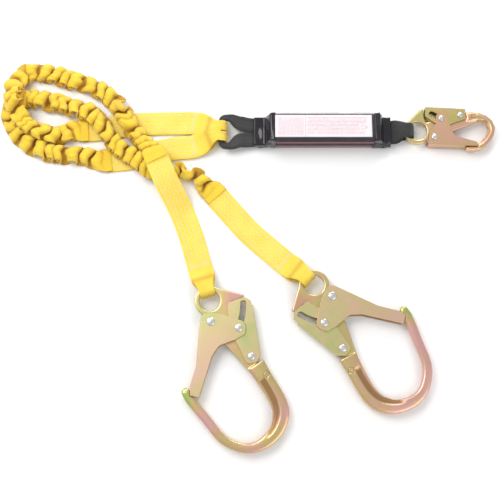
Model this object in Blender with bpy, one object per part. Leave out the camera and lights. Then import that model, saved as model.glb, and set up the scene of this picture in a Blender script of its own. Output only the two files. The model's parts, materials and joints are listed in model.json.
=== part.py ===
"""Shock absorbing lanyard: a tear-webbing absorber with a snap hook, and two elastic legs with rebar hooks.

Metres, +Z up. The absorber lies on the ground with its underside centred on the origin, its snap hook
towards +X. The hooks lie flat. A hook's outlines are drawn in its own plane, in units of the drawing, with
the gate rivet at the origin, and are scaled to the hook's length.
"""

import math
from dataclasses import dataclass

import bmesh
import bpy
from mathutils import Matrix, Vector

MM = 0.001

# Lengths of the three main assemblies
REBAR_HOOK_LENGTH = 232 * MM
SNAP_HOOK_LENGTH = 136 * MM
ABSORBER_LENGTH = 202 * MM

# Hook thicknesses, from the middle plane outwards
BODY_PLATE = 8.0 * MM
BOWL_THICKNESS = 12.4 * MM
SHEET = 2.0 * MM
SIDE_GAP = 0.4 * MM
RIVET_HEAD = 1.8 * MM

# Rivets
GATE_RIVET_SHAFT = 3.0 * MM
GUIDE_RIVET_SHAFT = 3.2 * MM
LEVER_RIVET_SHAFT = 2.5 * MM
RIVET_CLEARANCE = 0.3 * MM
SLOT_CLEARANCE = 0.9 * MM
NOTCH_CLEARANCE = 0.5 * MM
# The rounded end of the nose, as degrees round it
NOSE_ROUNDING = (30, 55, 75)
# Degrees of opening over which the gate's end passes the nose of the bowl
NOTCH_SWEEP = (0, 1.5, 3, 4.5)

# Springs
SPRING_WIRE = 1.2 * MM
GATE_SPRING_TURNS = 2.25
LEVER_SPRING_TURNS = 3

# Webbing
LEG_WEBBING_WIDTH = 35 * MM
ABSORBER_WEBBING_WIDTH = 35 * MM
PLY = 2.2 * MM
PLY_GAP = 0.3 * MM
EYE_STRAP_WIDTH = 22 * MM
PACK_EYE_WIDTH = 15 * MM
FOLD_CLEARANCE = 0.3 * MM
BAR_CLEARANCE = 0.8 * MM
STRAIGHT_TO_FOLD = 4 * MM
FLOOR_GAP = 0.3 * MM
ELASTIC_DIAMETER = 22 * MM
JOINT_GAP = 0.3 * MM

# Absorber pack
COVER_WIDTH = 44 * MM
COVER_HEIGHT = 36.5 * MM
COVER_END_HEIGHT = 16 * MM
COVER_WALL = 0.8 * MM
COVER_CORNER = 2.5 * MM
COVER_LEFT_SHOULDER = 16 * MM
COVER_RIGHT_SHOULDER = 11 * MM
COVER_RAMP = 9 * MM
TEAR_PLIES = 7
TEAR_PLY_GAP = 0.3 * MM
TEAR_SIDE_GAP = 1.2 * MM
LABEL_LENGTH = 141 * MM
LABEL_WIDTH = 34 * MM
LABEL_THICKNESS = 0.3 * MM

# The black bar that the two leg loops hang on
BAR_WIDTH = 9.0 * MM
BAR_THICKNESS = 6.0 * MM
BAR_HEIGHT = 12 * MM
BAR_X = -ABSORBER_LENGTH / 2 - 48 * MM

GOLD_ZINC = ((0.62, 0.50, 0.27), 0.32, 1.0)
ROSE_ZINC = ((0.66, 0.47, 0.34), 0.30, 1.0)
RIVET_STEEL = ((0.70, 0.70, 0.72), 0.25, 1.0)
SPRING_STEEL = ((0.35, 0.35, 0.36), 0.35, 1.0)
YELLOW_WEB = ((0.93, 0.74, 0.04), 0.75, 0.0)
BLACK_WEB = ((0.02, 0.02, 0.022), 0.7, 0.0)
PINK_WEB = ((0.62, 0.24, 0.26), 0.8, 0.0)
CLEAR_VINYL = ((0.10, 0.09, 0.12), 0.2, 0.0)
PAPER = ((0.88, 0.82, 0.84), 0.6, 0.0)


@dataclass
class HookDesign:
    """One hook in drawing units. Corners are (x, y) or (x, y, fillet radius)."""

    drawing_length: float
    length: float
    eye: tuple
    eye_hole: float
    eye_rim: float
    guide: tuple
    lever_pivot: tuple
    gate_opens: float
    lever_turns: float
    head_radius: float
    pivot_head_radius: float
    lever_pocket: float
    web: list
    bowl: list
    gate: list
    gate_spine: list
    lever: list
    lever_spine: list

    @property
    def scale(self):
        return self.length / self.drawing_length

    def place(self, point):
        return Vector((point[0], point[1])) * self.scale

    @property
    def rim_inner(self):
        """How near the eye's centre the rim comes, across the width of the strap that holds it."""
        return math.sqrt((self.eye_hole * self.scale) ** 2 - (EYE_STRAP_WIDTH / 2) ** 2)

    @property
    def swing_offset(self):
        """From the eye's centre back to the axis about which the rim turns in its strap."""
        return (self.eye_rim * self.scale + self.rim_inner) / 2

    @property
    def fold_radius(self):
        """Inside of the strap's fold, which the rim turns within."""
        half_rim = (self.eye_rim * self.scale - self.rim_inner) / 2
        return math.hypot(half_rim, BODY_PLATE / 2) + FOLD_CLEARANCE


def arc(centre, radius, start, end, steps):
    """Points on an arc, from one angle to another in degrees."""
    points = []
    for step in range(steps + 1):
        angle = math.radians(start + (end - start) * step / steps)
        points.append((centre[0] + radius * math.cos(angle), centre[1] + radius * math.sin(angle)))
    return points


REBAR_EYE = (-2.0, 30.0)
REBAR_LEVER_PIVOT = (56.8, -48.3)
SNAP_EYE = (-23.5, 11.3)
SNAP_LEVER_PIVOT = (40.4, 35.1)

REBAR = HookDesign(
    drawing_length=231.8,
    length=REBAR_HOOK_LENGTH,
    eye=REBAR_EYE,
    eye_hole=14.4,
    eye_rim=21.8,
    guide=(38.9, -8.7),
    lever_pivot=REBAR_LEVER_PIVOT,
    gate_opens=48,
    lever_turns=10,
    head_radius=5.4,
    pivot_head_radius=5.9,
    lever_pocket=7.2,
    web=[
        (56, -72), (21.6, -33.5, 8), (7, -14, 8), (-6, -9, 5), (-10.3, 2, 3),
        *arc(REBAR_EYE, 21.8, -112, -304, 16),
        (45.8, 39.6, 1.5), (46.9, 36, 0.6), (38.5, 31.8, 2),
        *arc((0, 0), 44.4, 42, 44, 1),
        *arc((0, 0), 35.0, 44, -24, 8),
        (47, -24, 4), (61, -32, 3),
        *arc(REBAR_LEVER_PIVOT, 10.4, 72, 34, 2),
        *arc(REBAR_LEVER_PIVOT, 7.2, 30, 336, 12),
        *arc(REBAR_LEVER_PIVOT, 10.4, -26, -46, 1),
        (70, -62), (66, -72),
    ],
    bowl=[
        (62.8, -59.6, 27), (74, -77, 24.5), (86, -96, 24), (95, -113, 24.3), (97.6, -130, 24),
        (90, -151, 20.5), (71, -168, 16.5), (48, -173, 14), (19, -162, 13.4), (-5, -134.6, 13.4),
        (-26, -110, 13.6), (-33.6, -98, 12.8),
    ],
    gate=[
        (-13.9, 13.2, 11), (10, 12.2, 11), (49.4, -0.6, 9), (49, -17.2, 9), (34.1, -25.7, 8),
        (11.2, -34, 12), (2.1, -48.6, 12), (-15.5, -105.2, 1), (-27.9, -102.2, 1),
        (-28.3, -91.2, 8), (-20, -62.3, 12), (-19.3, -54.7, 12),
    ],
    gate_spine=[(-13.9, 3), (-19.3, -54.7), (-20, -62.3), (-28.3, -91.2), (-28, -112)],
    lever=[
        (23.3, 27, 4), (46.5, 35.7, 5), (55.9, 29.8, 3), (56.6, 24.2, 1), (58.7, 23.6, 0.6),
        (70.1, -45.8, 2), (64.5, -56.5, 6), (51, -59.2, 7), (47, -52, 4), (34.8, -27.1, 20),
        (24.3, 6.2, 12),
    ],
    lever_spine=[(70.6, -49), (58.4, 25)],
)

SNAP = HookDesign(
    drawing_length=136.4,
    length=SNAP_HOOK_LENGTH,
    eye=SNAP_EYE,
    eye_hole=14.0,
    eye_rim=20.5,
    guide=(11.2, 28.9),
    lever_pivot=SNAP_LEVER_PIVOT,
    gate_opens=25,
    lever_turns=7.6,
    head_radius=4.4,
    pivot_head_radius=4.6,
    lever_pocket=5.3,
    web=[
        (66, 26.6, 1), (26.5, 9.4, 6), (17, -3, 5), (6, -7.6, 4), (-7, -8, 4),
        *arc(SNAP_EYE, 20.5, -48, -236, 16),
        (-16.4, 47, 1), (-13.6, 45, 1), (-13.2, 33, 1),
        *arc((0, 0), 26.2, 114, 62, 6),
        (24, 30.5, 4),
        *arc(SNAP_LEVER_PIVOT, 7.2, 150, 110, 2),
        *arc(SNAP_LEVER_PIVOT, 5.3, 104, 410, 12),
        *arc(SNAP_LEVER_PIVOT, 7.2, 46, 30, 1),
        (52, 38.5, 1), (66, 37),
    ],
    bowl=[
        (50.2, 32.2, 18), (61, 33.6, 14), (73, 32.6, 11.6), (83, 25.6, 10.8), (86.9, 14, 10.6),
        (82.6, 2.2, 10.8), (75, -7.4, 11), (66, -14.2, 9.6), (56, -16.6, 6.6), (49, -17, 5.4),
    ],
    gate=[
        (-9.3, -11.2, 2.5), (64.8, -14, 1), (62, -7.6, 1.5), (31, 1.3, 9), (25.5, 9.6, 7),
        (19.6, 37.1, 7.5), (3, 37.1, 7.5), (3.2, 21, 6), (-7.6, 8, 5),
    ],
    gate_spine=[(-11, -11.2), (66, -14.1)],
    lever=[(-11.2, 47.5, 1), (47.8, 44.5, 1), (48.3, 29, 2.5), (24, 20, 5), (2, 22, 5), (-12.1, 33, 3)],
    lever_spine=[(50, 44.4), (-13, 47.6)],
)

# A longer pack moves its own ends apart: the legs and their hooks go with its left end
PACK_END = ABSORBER_LENGTH / 2 / MM
LEGS_X = 101 - PACK_END

# Where each eye lies, which way its strap pulls, and how the hook lies in it
HOOKS = {
    "snap": {"design": SNAP, "eye": (PACK_END + 40, 1), "pull": 0, "turn": 0, "flipped": False},
    "rebar_1": {
        "design": REBAR, "eye": (LEGS_X - 164, -253.5), "pull": -73, "turn": 0, "flipped": False,
    },
    "rebar_2": {
        "design": REBAR, "eye": (LEGS_X - 16, -230.4), "pull": -42, "turn": 60, "flipped": True,
    },
}

# Routes of the legs, in millimetres. A strap's route gives the middle of its two plies.
LEG_1_PACK_STRAP = [
    (-356, 5, 2.7), (-322, 8, 2.7), (-288, 14, 2.7), (-250, 16, 2.7), (-215, 16.5, 2.8),
    (-190, 16, 4.2),
]
LEG_2_PACK_STRAP = [
    (-320, -42, 2.7), (-284, -38, 2.7), (-247, -29, 2.7), (-215, -22.5, 2.8), (-190, -20, 4.2),
]
LEG_1_HOOK_STRAP = [
    (-244, -44, 30), (-237, -60, 29), (-229, -78, 25), (-217, -100, 14), (-204, -127, 3.4),
    (-191, -162, 2.7), (-180, -200, 3.4),
]
LEG_2_HOOK_STRAP = [
    (-160, -92, 2.7), (-134, -122, 2.7), (-107, -152, 2.7), (-72, -183, 2.9), (-52, -200, 4),
]
LEG_1_ELASTIC = [
    (-357.5, 5, 11), (-370, 3.6, 11), (-382, -2, 11.5), (-398, -5, 14), (-418, -1, 18.5),
    (-436, 9, 24.5), (-449, 25, 30), (-456, 43, 34), (-457, 62, 32), (-451, 81, 18),
    (-439, 94, 11.5), (-421, 95, 11), (-399, 92, 11), (-379, 85, 11), (-357, 78, 11),
    (-334, 70, 11), (-319, 57, 12), (-306, 39, 16.5), (-292, 20, 17.5), (-277, 1, 17),
    (-264, -16, 18.5), (-252, -31, 25), (-246, -41, 29),
]
LEG_2_ELASTIC = [
    (-321, -42, 11), (-335, -42, 11), (-350, -36, 11), (-366, -34, 11), (-386, -33, 11),
    (-408, -28, 11), (-431, -19, 11), (-451, -2, 11), (-464, 25, 11), (-460, 46, 11), (-446, 55, 11),
    (-430, 55, 11), (-413, 51, 11), (-396, 49, 11), (-377, 42, 11), (-360, 38, 12), (-346, 30, 16),
    (-335, 17, 17), (-323, 4, 17), (-313, -9, 17), (-302, -23, 17), (-287, -34, 17), (-274, -43, 17),
    (-262, -55, 16.5), (-249, -61, 11.5), (-230, -62, 11), (-214, -62, 11), (-198, -67, 11),
    (-181, -76, 11), (-162, -90, 11),
]
LEG_LOOP_SPREAD = 8.2 * MM
# How far from its fold a strap is back to its full width
PACK_EYE_SPREAD = 42 * MM
HOOK_EYE_SPREAD = 40 * MM
CURVE_STEPS = 20
LOOP_POINT_SPACING = 9 * MM
ELASTIC_POINT_SPACING = 11 * MM
STRAP_POINT_SPACING = 5 * MM


def clear_scene():
    for found in list(bpy.data.objects):
        bpy.data.objects.remove(found)


def make_material(name, look):
    colour, roughness, metallic = look
    material = bpy.data.materials.new(name)
    material.use_nodes = True
    shader = material.node_tree.nodes["Principled BSDF"]
    shader.inputs["Base Color"].default_value = (*colour, 1)
    shader.inputs["Roughness"].default_value = roughness
    shader.inputs["Metallic"].default_value = metallic
    return material


def add_object(name, bm, look, parent=None, location=(0, 0, 0)):
    """Finishes a mesh as a named, closed, outward-facing object."""
    bmesh.ops.remove_doubles(bm, verts=bm.verts, dist=1e-6)
    bmesh.ops.recalc_face_normals(bm, faces=bm.faces)
    mesh = bpy.data.meshes.new(name)
    bm.to_mesh(mesh)
    bm.free()
    mesh.shade_smooth()
    mesh.set_sharp_from_angle(angle=math.radians(35))
    mesh.materials.append(make_material(name, look))
    made = bpy.data.objects.new(name, mesh)
    bpy.context.scene.collection.objects.link(made)
    made.parent = parent
    made.location = location
    return made


def add_empty(name, location, rotation=(0, 0, 0)):
    empty = bpy.data.objects.new(name, None)
    bpy.context.scene.collection.objects.link(empty)
    empty.location = location
    empty.rotation_euler = rotation
    return empty


# Outlines


def filleted(corners, steps=3):
    """A closed outline whose corners carry their own fillet radius, in drawing units."""
    points = []
    count = len(corners)
    for index, corner in enumerate(corners):
        here = Vector(corner[:2])
        if len(corner) == 2:
            points.append(here)
            continue
        before = (Vector(corners[index - 1][:2]) - here)
        after = (Vector(corners[(index + 1) % count][:2]) - here)
        half_angle = before.angle(after) / 2
        reach = min(corner[2] / math.tan(half_angle), before.length * 0.48, after.length * 0.48)
        start = here + before.normalized() * reach
        end = here + after.normalized() * reach
        for step in range(steps + 1):
            t = step / steps
            points.append(start * (1 - t) ** 2 + here * 2 * t * (1 - t) + end * t**2)
    return points


def grown(points, distance):
    """The outline moved outwards by a distance, whichever way round it runs."""
    area = sum(a.x * b.y - b.x * a.y for a, b in zip(points, points[1:] + points[:1]))
    side = 1 if area > 0 else -1
    moved = []
    for index, here in enumerate(points):
        along_in = (here - points[index - 1]).normalized()
        along_out = (points[(index + 1) % len(points)] - here).normalized()
        mean = (along_in + along_out).normalized()
        out = Vector((mean.y, -mean.x)) * side
        stretch = 1 / max(mean.dot(along_in), 0.5)
        moved.append(here + out * distance * stretch)
    return moved


def beside(points, distance):
    """An open line moved to its left by a distance."""
    moved = []
    for index, here in enumerate(points):
        along_in = here - points[max(index - 1, 0)]
        along_out = points[min(index + 1, len(points) - 1)] - here
        mean = (along_in.normalized() + along_out.normalized()).normalized()
        moved.append(here + Vector((-mean.y, mean.x)) * distance)
    return moved


def slot_outline(path, half_width):
    """A slot of constant width with round ends along a path."""
    left = beside(path, half_width)
    right = beside(path, -half_width)
    ends = []
    for tip, inner in ((path[-1], path[-2]), (path[0], path[1])):
        heading = math.degrees(math.atan2(tip.y - inner.y, tip.x - inner.x))
        ends.append([Vector(p) for p in arc(tip, half_width, heading + 60, heading - 60, 4)])
    return left + ends[0] + right[::-1] + ends[1]


def circle(centre, radius, steps=20):
    return [Vector(p) for p in arc(centre, radius, 0, 360 - 360 / steps, steps - 1)]


# Solids


def prism(outline, low, high, holes=()):
    """A flat plate with holes, between two heights: its rim and its two filled faces."""
    bm = bmesh.new()
    for height in (low, high):
        edges = []
        for ring in (outline, *holes):
            corners = [bm.verts.new((p.x, p.y, height)) for p in ring]
            edges += [bm.edges.new((corners[i - 1], corners[i])) for i in range(len(corners))]
        bmesh.ops.triangle_fill(bm, edges=edges, use_beauty=True, use_dissolve=False)
    bm.verts.ensure_lookup_table()
    half = len(bm.verts) // 2
    first = 0
    for ring in (outline, *holes):
        for i in range(len(ring)):
            a = first + i
            b = first + (i + 1) % len(ring)
            bm.faces.new([bm.verts[k] for k in (a, b, b + half, a + half)])
        first += len(ring)
    bmesh.ops.recalc_face_normals(bm, faces=bm.faces)
    return bm


def combined(base, tool, operation):
    """Base with a tool joined to it or cut from it, both closed meshes."""
    pair = []
    for bm in (base, tool):
        bmesh.ops.recalc_face_normals(bm, faces=bm.faces)
        mesh = bpy.data.meshes.new("working")
        bm.to_mesh(mesh)
        bm.free()
        made = bpy.data.objects.new("working", mesh)
        bpy.context.scene.collection.objects.link(made)
        pair.append(made)
    boolean = pair[0].modifiers.new("boolean", "BOOLEAN")
    boolean.operation = operation
    boolean.solver = "EXACT"
    boolean.object = pair[1]
    bpy.context.view_layer.update()
    evaluated = pair[0].evaluated_get(bpy.context.evaluated_depsgraph_get())
    result = bmesh.new()
    result.from_mesh(evaluated.to_mesh())
    evaluated.to_mesh_clear()
    for made in pair:
        mesh = made.data
        bpy.data.objects.remove(made)
        bpy.data.meshes.remove(mesh)
    return result


def swept(rings):
    """A closed solid through a row of rings with equal counts of points, its two ends filled."""
    bm = bmesh.new()
    rows = [[bm.verts.new(p) for p in ring] for ring in rings]
    for row, following in zip(rows, rows[1:]):
        for i in range(len(row)):
            bm.faces.new((row[i - 1], row[i], following[i], following[i - 1]))
    bm.faces.new(rows[0])
    bm.faces.new(rows[-1][::-1])
    return bm


def revolved(profile, steps):
    """A solid turned about Z from a profile of (radius, height) that starts and ends on the axis."""
    bm = bmesh.new()
    top = bm.verts.new((0, 0, profile[0][1]))
    bottom = bm.verts.new((0, 0, profile[-1][1]))
    rows = []
    for radius, height in profile[1:-1]:
        rows.append([bm.verts.new((p.x, p.y, height)) for p in circle((0, 0), radius, steps)])
    for row, following in zip(rows, rows[1:]):
        for i in range(steps):
            bm.faces.new((row[i - 1], row[i], following[i], following[i - 1]))
    for i in range(steps):
        bm.faces.new((top, rows[0][i], rows[0][i - 1]))
        bm.faces.new((bottom, rows[-1][i - 1], rows[-1][i]))
    return bm


def smooth_route(points, spacing):
    """Evenly spaced points on the Catmull-Rom curve through hand-placed points."""
    knots = [Vector(p) for p in points]
    knots = [knots[0] * 2 - knots[1]] + knots + [knots[-1] * 2 - knots[-2]]
    dense = []
    for a, b, c, d in zip(knots, knots[1:], knots[2:], knots[3:]):
        for step in range(CURVE_STEPS):
            t = step / CURVE_STEPS
            square = (2 * a - 5 * b + 4 * c - d) * t**2
            cube = (3 * b - a - 3 * c + d) * t**3
            dense.append((2 * b + (c - a) * t + square + cube) / 2)
    dense.append(knots[-2])
    lengths = [0.0]
    for a, b in zip(dense, dense[1:]):
        lengths.append(lengths[-1] + (b - a).length)
    count = max(2, round(lengths[-1] / spacing))
    picked = []
    index = 0
    for step in range(count + 1):
        target = lengths[-1] * step / count
        while index < len(dense) - 2 and lengths[index + 1] < target:
            index += 1
        share = (target - lengths[index]) / (lengths[index + 1] - lengths[index])
        picked.append(dense[index].lerp(dense[index + 1], share))
    return picked


def ease(value):
    """Smooth step from 0 to 1."""
    value = min(max(value, 0), 1)
    return value * value * (3 - 2 * value)


def wire(points, radius, sides=6):
    """A round wire along a row of points."""
    rings = []
    for index, here in enumerate(points):
        along = (points[min(index + 1, len(points) - 1)] - points[max(index - 1, 0)]).normalized()
        up = Vector((0, 0, 1))
        across = along.cross(up).normalized()
        rise = across.cross(along)
        ring = []
        for side in range(sides):
            angle = 2 * math.pi * side / sides
            ring.append(here + across * radius * math.cos(angle) + rise * radius * math.sin(angle))
        rings.append(ring)
    return swept(rings)


# Hooks


LEVER_CHEEK = BODY_PLATE / 2 + SIDE_GAP
GATE_CHEEK = LEVER_CHEEK + SHEET + SIDE_GAP
HEAD_HEIGHT = GATE_CHEEK + SHEET + JOINT_GAP


def hook_height(design):
    """Height of a hook's middle plane: its rivets and the strap under its rim both clear the ground."""
    return max(HEAD_HEIGHT + RIVET_HEAD, design.fold_radius + PLY + FLOOR_GAP)


def channel(design, corners, spine, low, wall_outer, holes):
    """A folded sheet: two cheeks at a distance from the middle plane, joined along the spine."""
    scale = design.scale
    outline = [p * scale for p in filleted(corners)]
    block = prism(outline, -wall_outer, wall_outer, holes)
    line = [Vector(p) * scale for p in spine]
    inner = beside(line, SHEET)
    far = (line[0] - line[-1]).orthogonal().normalized() * design.length
    if far.dot(inner[0] - line[0]) < 0:
        far = -far
    start_out = (inner[0] - inner[1]).normalized() * design.length * 0.3
    end_out = (inner[-1] - inner[-2]).normalized() * design.length * 0.3
    pocket = [inner[0] - far * 0.3, inner[0] + start_out - far * 0.3, inner[0] + start_out + far]
    pocket += [inner[-1] + end_out + far, inner[-1] + end_out] + inner[::-1]
    return combined(block, prism(pocket, -low, low), "DIFFERENCE")


def bowl_section(half_width, half_thickness):
    """A rectangle with well-rounded corners, as (across, up)."""
    points = []
    for side in range(14):
        angle = 2 * math.pi * (side + 0.5) / 14
        c, s = math.cos(angle), math.sin(angle)
        across = math.copysign(abs(c) ** 0.55, c) * half_width
        up = math.copysign(abs(s) ** 0.55, s) * half_thickness
        points.append((across, up))
    return points


def hook_body(design):
    """The forged body: a flat web with the eye, joined to the thick bowl that ends in the nose."""
    scale = design.scale
    stations = smooth_route([Vector(p) * scale for p in design.bowl], 9 * MM)
    rings = []
    for index, station in enumerate(stations):
        ahead = stations[min(index + 1, len(stations) - 1)]
        behind = stations[max(index - 1, 0)]
        along = Vector((ahead.x - behind.x, ahead.y - behind.y, 0)).normalized()
        across = Vector((along.y, -along.x, 0))
        here = Vector((station.x, station.y, 0))
        section = bowl_section(station.z / 2, BOWL_THICKNESS / 2)
        rings.append([here + across * a + Vector((0, 0, u)) for a, u in section])
    nose = stations[-1].z / 2
    for degrees in NOSE_ROUNDING:
        turn = math.radians(degrees)
        section = bowl_section(nose * math.cos(turn), BOWL_THICKNESS / 2 * (1 + math.cos(turn)) / 2)
        tip = here + along * nose * math.sin(turn)
        rings.append([tip + across * a + Vector((0, 0, u)) for a, u in section])
    bowl = swept(rings)
    gate_outline = grown([p * scale for p in filleted(design.gate)], NOTCH_CLEARANCE)
    for degrees in NOTCH_SWEEP:
        turned = Matrix.Rotation(math.radians(degrees), 2)
        notch = prism([turned @ p for p in gate_outline], -BOWL_THICKNESS, BOWL_THICKNESS)
        bowl = combined(bowl, notch, "DIFFERENCE")
    holes = [
        circle(design.place(design.eye), design.eye_hole * scale, 28),
        circle((0, 0), GATE_RIVET_SHAFT + RIVET_CLEARANCE, 16),
    ]
    web_outline = [p * scale for p in filleted(design.web)]
    web = prism(web_outline, -BODY_PLATE / 2, BODY_PLATE / 2, holes)
    return combined(bowl, web, "UNION")


def guide_path(design):
    """Where the guide rivet travels, as the lever sees it while both turn."""
    pivot = design.place(design.lever_pivot)
    guide = design.place(design.guide)
    path = []
    for step in range(9):
        share = step / 8
        opened = Matrix.Rotation(math.radians(design.gate_opens * share), 2) @ guide
        turned_back = Matrix.Rotation(-math.radians(design.lever_turns * share), 2)
        path.append(turned_back @ (opened - pivot) + pivot)
    return path


def rivet(shaft, head, inside, outside):
    """A rivet with two domed heads, its shaft along Z."""
    rise = outside - inside
    upper = [(0, outside), (head * 0.55, outside - rise * 0.12), (head * 0.9, outside - rise * 0.5)]
    upper += [(head, inside), (shaft, inside)]
    lower = [(radius, -height) for radius, height in upper[::-1]]
    return revolved(upper + lower, 14)


def gate_spring(design):
    """A flat spiral about the gate rivet whose outer leg reaches the gate's spine."""
    radius = SPRING_WIRE / 2
    inner = GATE_RIVET_SHAFT + RIVET_CLEARANCE + 2 * radius
    pitch = SPRING_WIRE + JOINT_GAP
    height = BODY_PLATE / 2 + JOINT_GAP + radius
    line = [Vector(p) * design.scale for p in design.gate_spine]
    face = beside(line, SHEET + JOINT_GAP + radius)
    along = (face[1] - face[0]).normalized()
    foot = face[0] + along * (-face[0]).dot(along)
    heading = math.atan2(foot.y, foot.x)
    points = []
    steps = round(GATE_SPRING_TURNS * 10)
    for step in range(steps + 1):
        turn = step / 10
        angle = heading - 2 * math.pi * (GATE_SPRING_TURNS - turn)
        reach = inner + pitch * turn
        points.append(Vector((reach * math.cos(angle), reach * math.sin(angle), height)))
    tip = foot + along * 3 * MM
    points.append(Vector((tip.x, tip.y, height)))
    return wire(points, radius)


def lever_spring(design):
    """A coil about the lever rivet whose leg reaches the lever's spine."""
    radius = SPRING_WIRE / 2 * design.lever_pocket / REBAR.lever_pocket
    coil = (design.lever_pocket * design.scale + LEVER_RIVET_SHAFT) / 2
    line = [(Vector(p) - Vector(design.lever_pivot)) * design.scale for p in design.lever_spine]
    face = beside(line, SHEET + JOINT_GAP + radius)
    along = (face[1] - face[0]).normalized()
    foot = face[0] + along * (-face[0]).dot(along)
    heading = math.atan2(foot.y, foot.x) + math.radians(22)
    pitch = 3 * radius
    points = []
    steps = LEVER_SPRING_TURNS * 10
    for step in range(steps + 1):
        turn = step / 10
        angle = heading - math.pi / 2 - 2 * math.pi * (LEVER_SPRING_TURNS - turn)
        height = (turn - LEVER_SPRING_TURNS / 2) * pitch
        points.append(Vector((coil * math.cos(angle), coil * math.sin(angle), height)))
    direction = Vector((math.cos(heading), math.sin(heading)))
    tip = Vector((points[-1].x, points[-1].y))
    normal = foot.normalized()
    reach = (foot.length - tip.dot(normal)) / direction.dot(normal)
    end = tip + direction * reach
    points.append(Vector((end.x, end.y, points[-1].z)))
    return wire(points, radius)


def make_hook(prefix, design, eye, pull, turn, flipped):
    """All the pieces of one hook, on an empty that stands on the axis of its swing."""
    scale = design.scale
    heading = Vector((math.cos(math.radians(pull)), math.sin(math.radians(pull)), 0))
    height = hook_height(design)
    axis_point = Vector((eye[0] * MM, eye[1] * MM, height)) - heading * design.swing_offset
    rotation = (0, math.pi if flipped else 0, math.radians(turn))
    swing = add_empty(f"{prefix}_swing", axis_point, rotation)
    turned = Matrix.Rotation(math.radians(turn), 3, "Z") @ Matrix.Rotation(rotation[1], 3, "Y")
    eye_here = Vector((*design.place(design.eye), 0))
    gate_pivot = turned.transposed() @ (heading * design.swing_offset) - eye_here
    guide = Vector((*design.place(design.guide), 0))
    lever_offset = Vector((*design.place(design.lever_pivot), 0))

    add_object(f"{prefix}_hook_body", hook_body(design), ROSE_ZINC, swing, gate_pivot)

    holes = [
        circle((0, 0), GATE_RIVET_SHAFT + RIVET_CLEARANCE, 14),
        circle(guide, GUIDE_RIVET_SHAFT + RIVET_CLEARANCE, 14),
    ]
    gate = channel(design, design.gate, design.gate_spine, GATE_CHEEK, GATE_CHEEK + SHEET, holes)
    add_object(f"{prefix}_gate", gate, GOLD_ZINC, swing, gate_pivot)

    holes = [
        circle(lever_offset, LEVER_RIVET_SHAFT + RIVET_CLEARANCE, 14),
        slot_outline(guide_path(design), GUIDE_RIVET_SHAFT + SLOT_CLEARANCE),
    ]
    lever = channel(design, design.lever, design.lever_spine, LEVER_CHEEK, LEVER_CHEEK + SHEET, holes)
    bmesh.ops.translate(lever, verts=lever.verts, vec=-lever_offset)
    add_object(f"{prefix}_lock_lever", lever, GOLD_ZINC, swing, gate_pivot + lever_offset)

    head_top = HEAD_HEIGHT + RIVET_HEAD
    pivot_rivet = rivet(GATE_RIVET_SHAFT, design.pivot_head_radius * scale, HEAD_HEIGHT, head_top)
    add_object(f"{prefix}_gate_rivet", pivot_rivet, RIVET_STEEL, swing, gate_pivot)
    guide_rivet = rivet(GUIDE_RIVET_SHAFT, design.head_radius * scale, HEAD_HEIGHT, head_top)
    add_object(f"{prefix}_guide_rivet", guide_rivet, RIVET_STEEL, swing, gate_pivot + guide)
    seat = LEVER_CHEEK + SHEET + JOINT_GAP
    lever_rivet = rivet(LEVER_RIVET_SHAFT, design.head_radius * scale, seat, seat + RIVET_HEAD)
    add_object(f"{prefix}_lever_rivet", lever_rivet, RIVET_STEEL, swing, gate_pivot + lever_offset)

    add_object(f"{prefix}_gate_spring", gate_spring(design), SPRING_STEEL, swing, gate_pivot)
    lever_pivot = gate_pivot + lever_offset
    add_object(f"{prefix}_lever_spring", lever_spring(design), SPRING_STEEL, swing, lever_pivot)


# Webbing


def ribbon(stations):
    """A flat band. A station is (middle, across, up, width, thickness)."""
    rings = []
    for middle, across, up, width, thickness in stations:
        side = across * width / 2
        rise = up * thickness / 2
        low, high = middle - rise, middle + rise
        rings.append([low - side, low + side, high + side, high - side])
    return swept(rings)


def strap_loop(route, end, heading, fold_radius, eye_width, flat_width, spread):
    """Webbing doubled back on itself: two plies that part towards the end and fold round it.

    The route runs to the point `end`, arriving along `heading`; the fold turns about that point.
    Over the last `spread` the plies part from each other and the webbing narrows to the eye's width.
    """
    waypoints = [Vector(p) * MM for p in route]
    straight = fold_radius + STRAIGHT_TO_FOLD
    waypoints += [end - heading * straight, end]
    points = smooth_route(waypoints, LOOP_POINT_SPACING)
    total = sum((b - a).length for a, b in zip(points, points[1:]))
    travelled = 0.0
    lower = []
    upper = []
    for index, here in enumerate(points):
        if index:
            travelled += (here - points[index - 1]).length
        ahead = points[min(index + 1, len(points) - 1)]
        behind = points[max(index - 1, 0)]
        along = heading if index == len(points) - 1 else (ahead - behind).normalized()
        across = Vector((-along.y, along.x, 0)).normalized()
        up = along.cross(across)
        up = up if up.z > 0 else -up
        left = total - travelled
        parted = ease((spread - left) / spread)
        narrowed = ease((spread - left) / (spread - straight))
        half_gap = PLY_GAP / 2 + (fold_radius - PLY_GAP / 2) * parted
        width = flat_width + (eye_width - flat_width) * narrowed
        offset = up * (half_gap + PLY / 2)
        lower.append((here - offset, across, up, width, PLY))
        upper.append((here + offset, across, up, width, PLY))
    across = Vector((-heading.y, heading.x, 0))
    fold = []
    reach = fold_radius + PLY / 2
    steps = 8
    for step in range(1, steps):
        angle = math.pi * step / steps
        out = heading * math.sin(angle) - Vector((0, 0, 1)) * math.cos(angle)
        fold.append((end + out * reach, across, -out, eye_width, PLY))
    flipped = [(middle, side, -up, width, thick) for middle, side, up, width, thick in upper[::-1]]
    return ribbon(lower + fold + flipped)


def hook_strap_end(hook):
    """The swing axis and heading of a hook, which its strap folds round."""
    design = hook["design"]
    angle = math.radians(hook["pull"])
    heading = Vector((math.cos(angle), math.sin(angle), 0))
    eye = Vector((hook["eye"][0] * MM, hook["eye"][1] * MM, hook_height(design)))
    return eye - heading * design.swing_offset, heading


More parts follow.
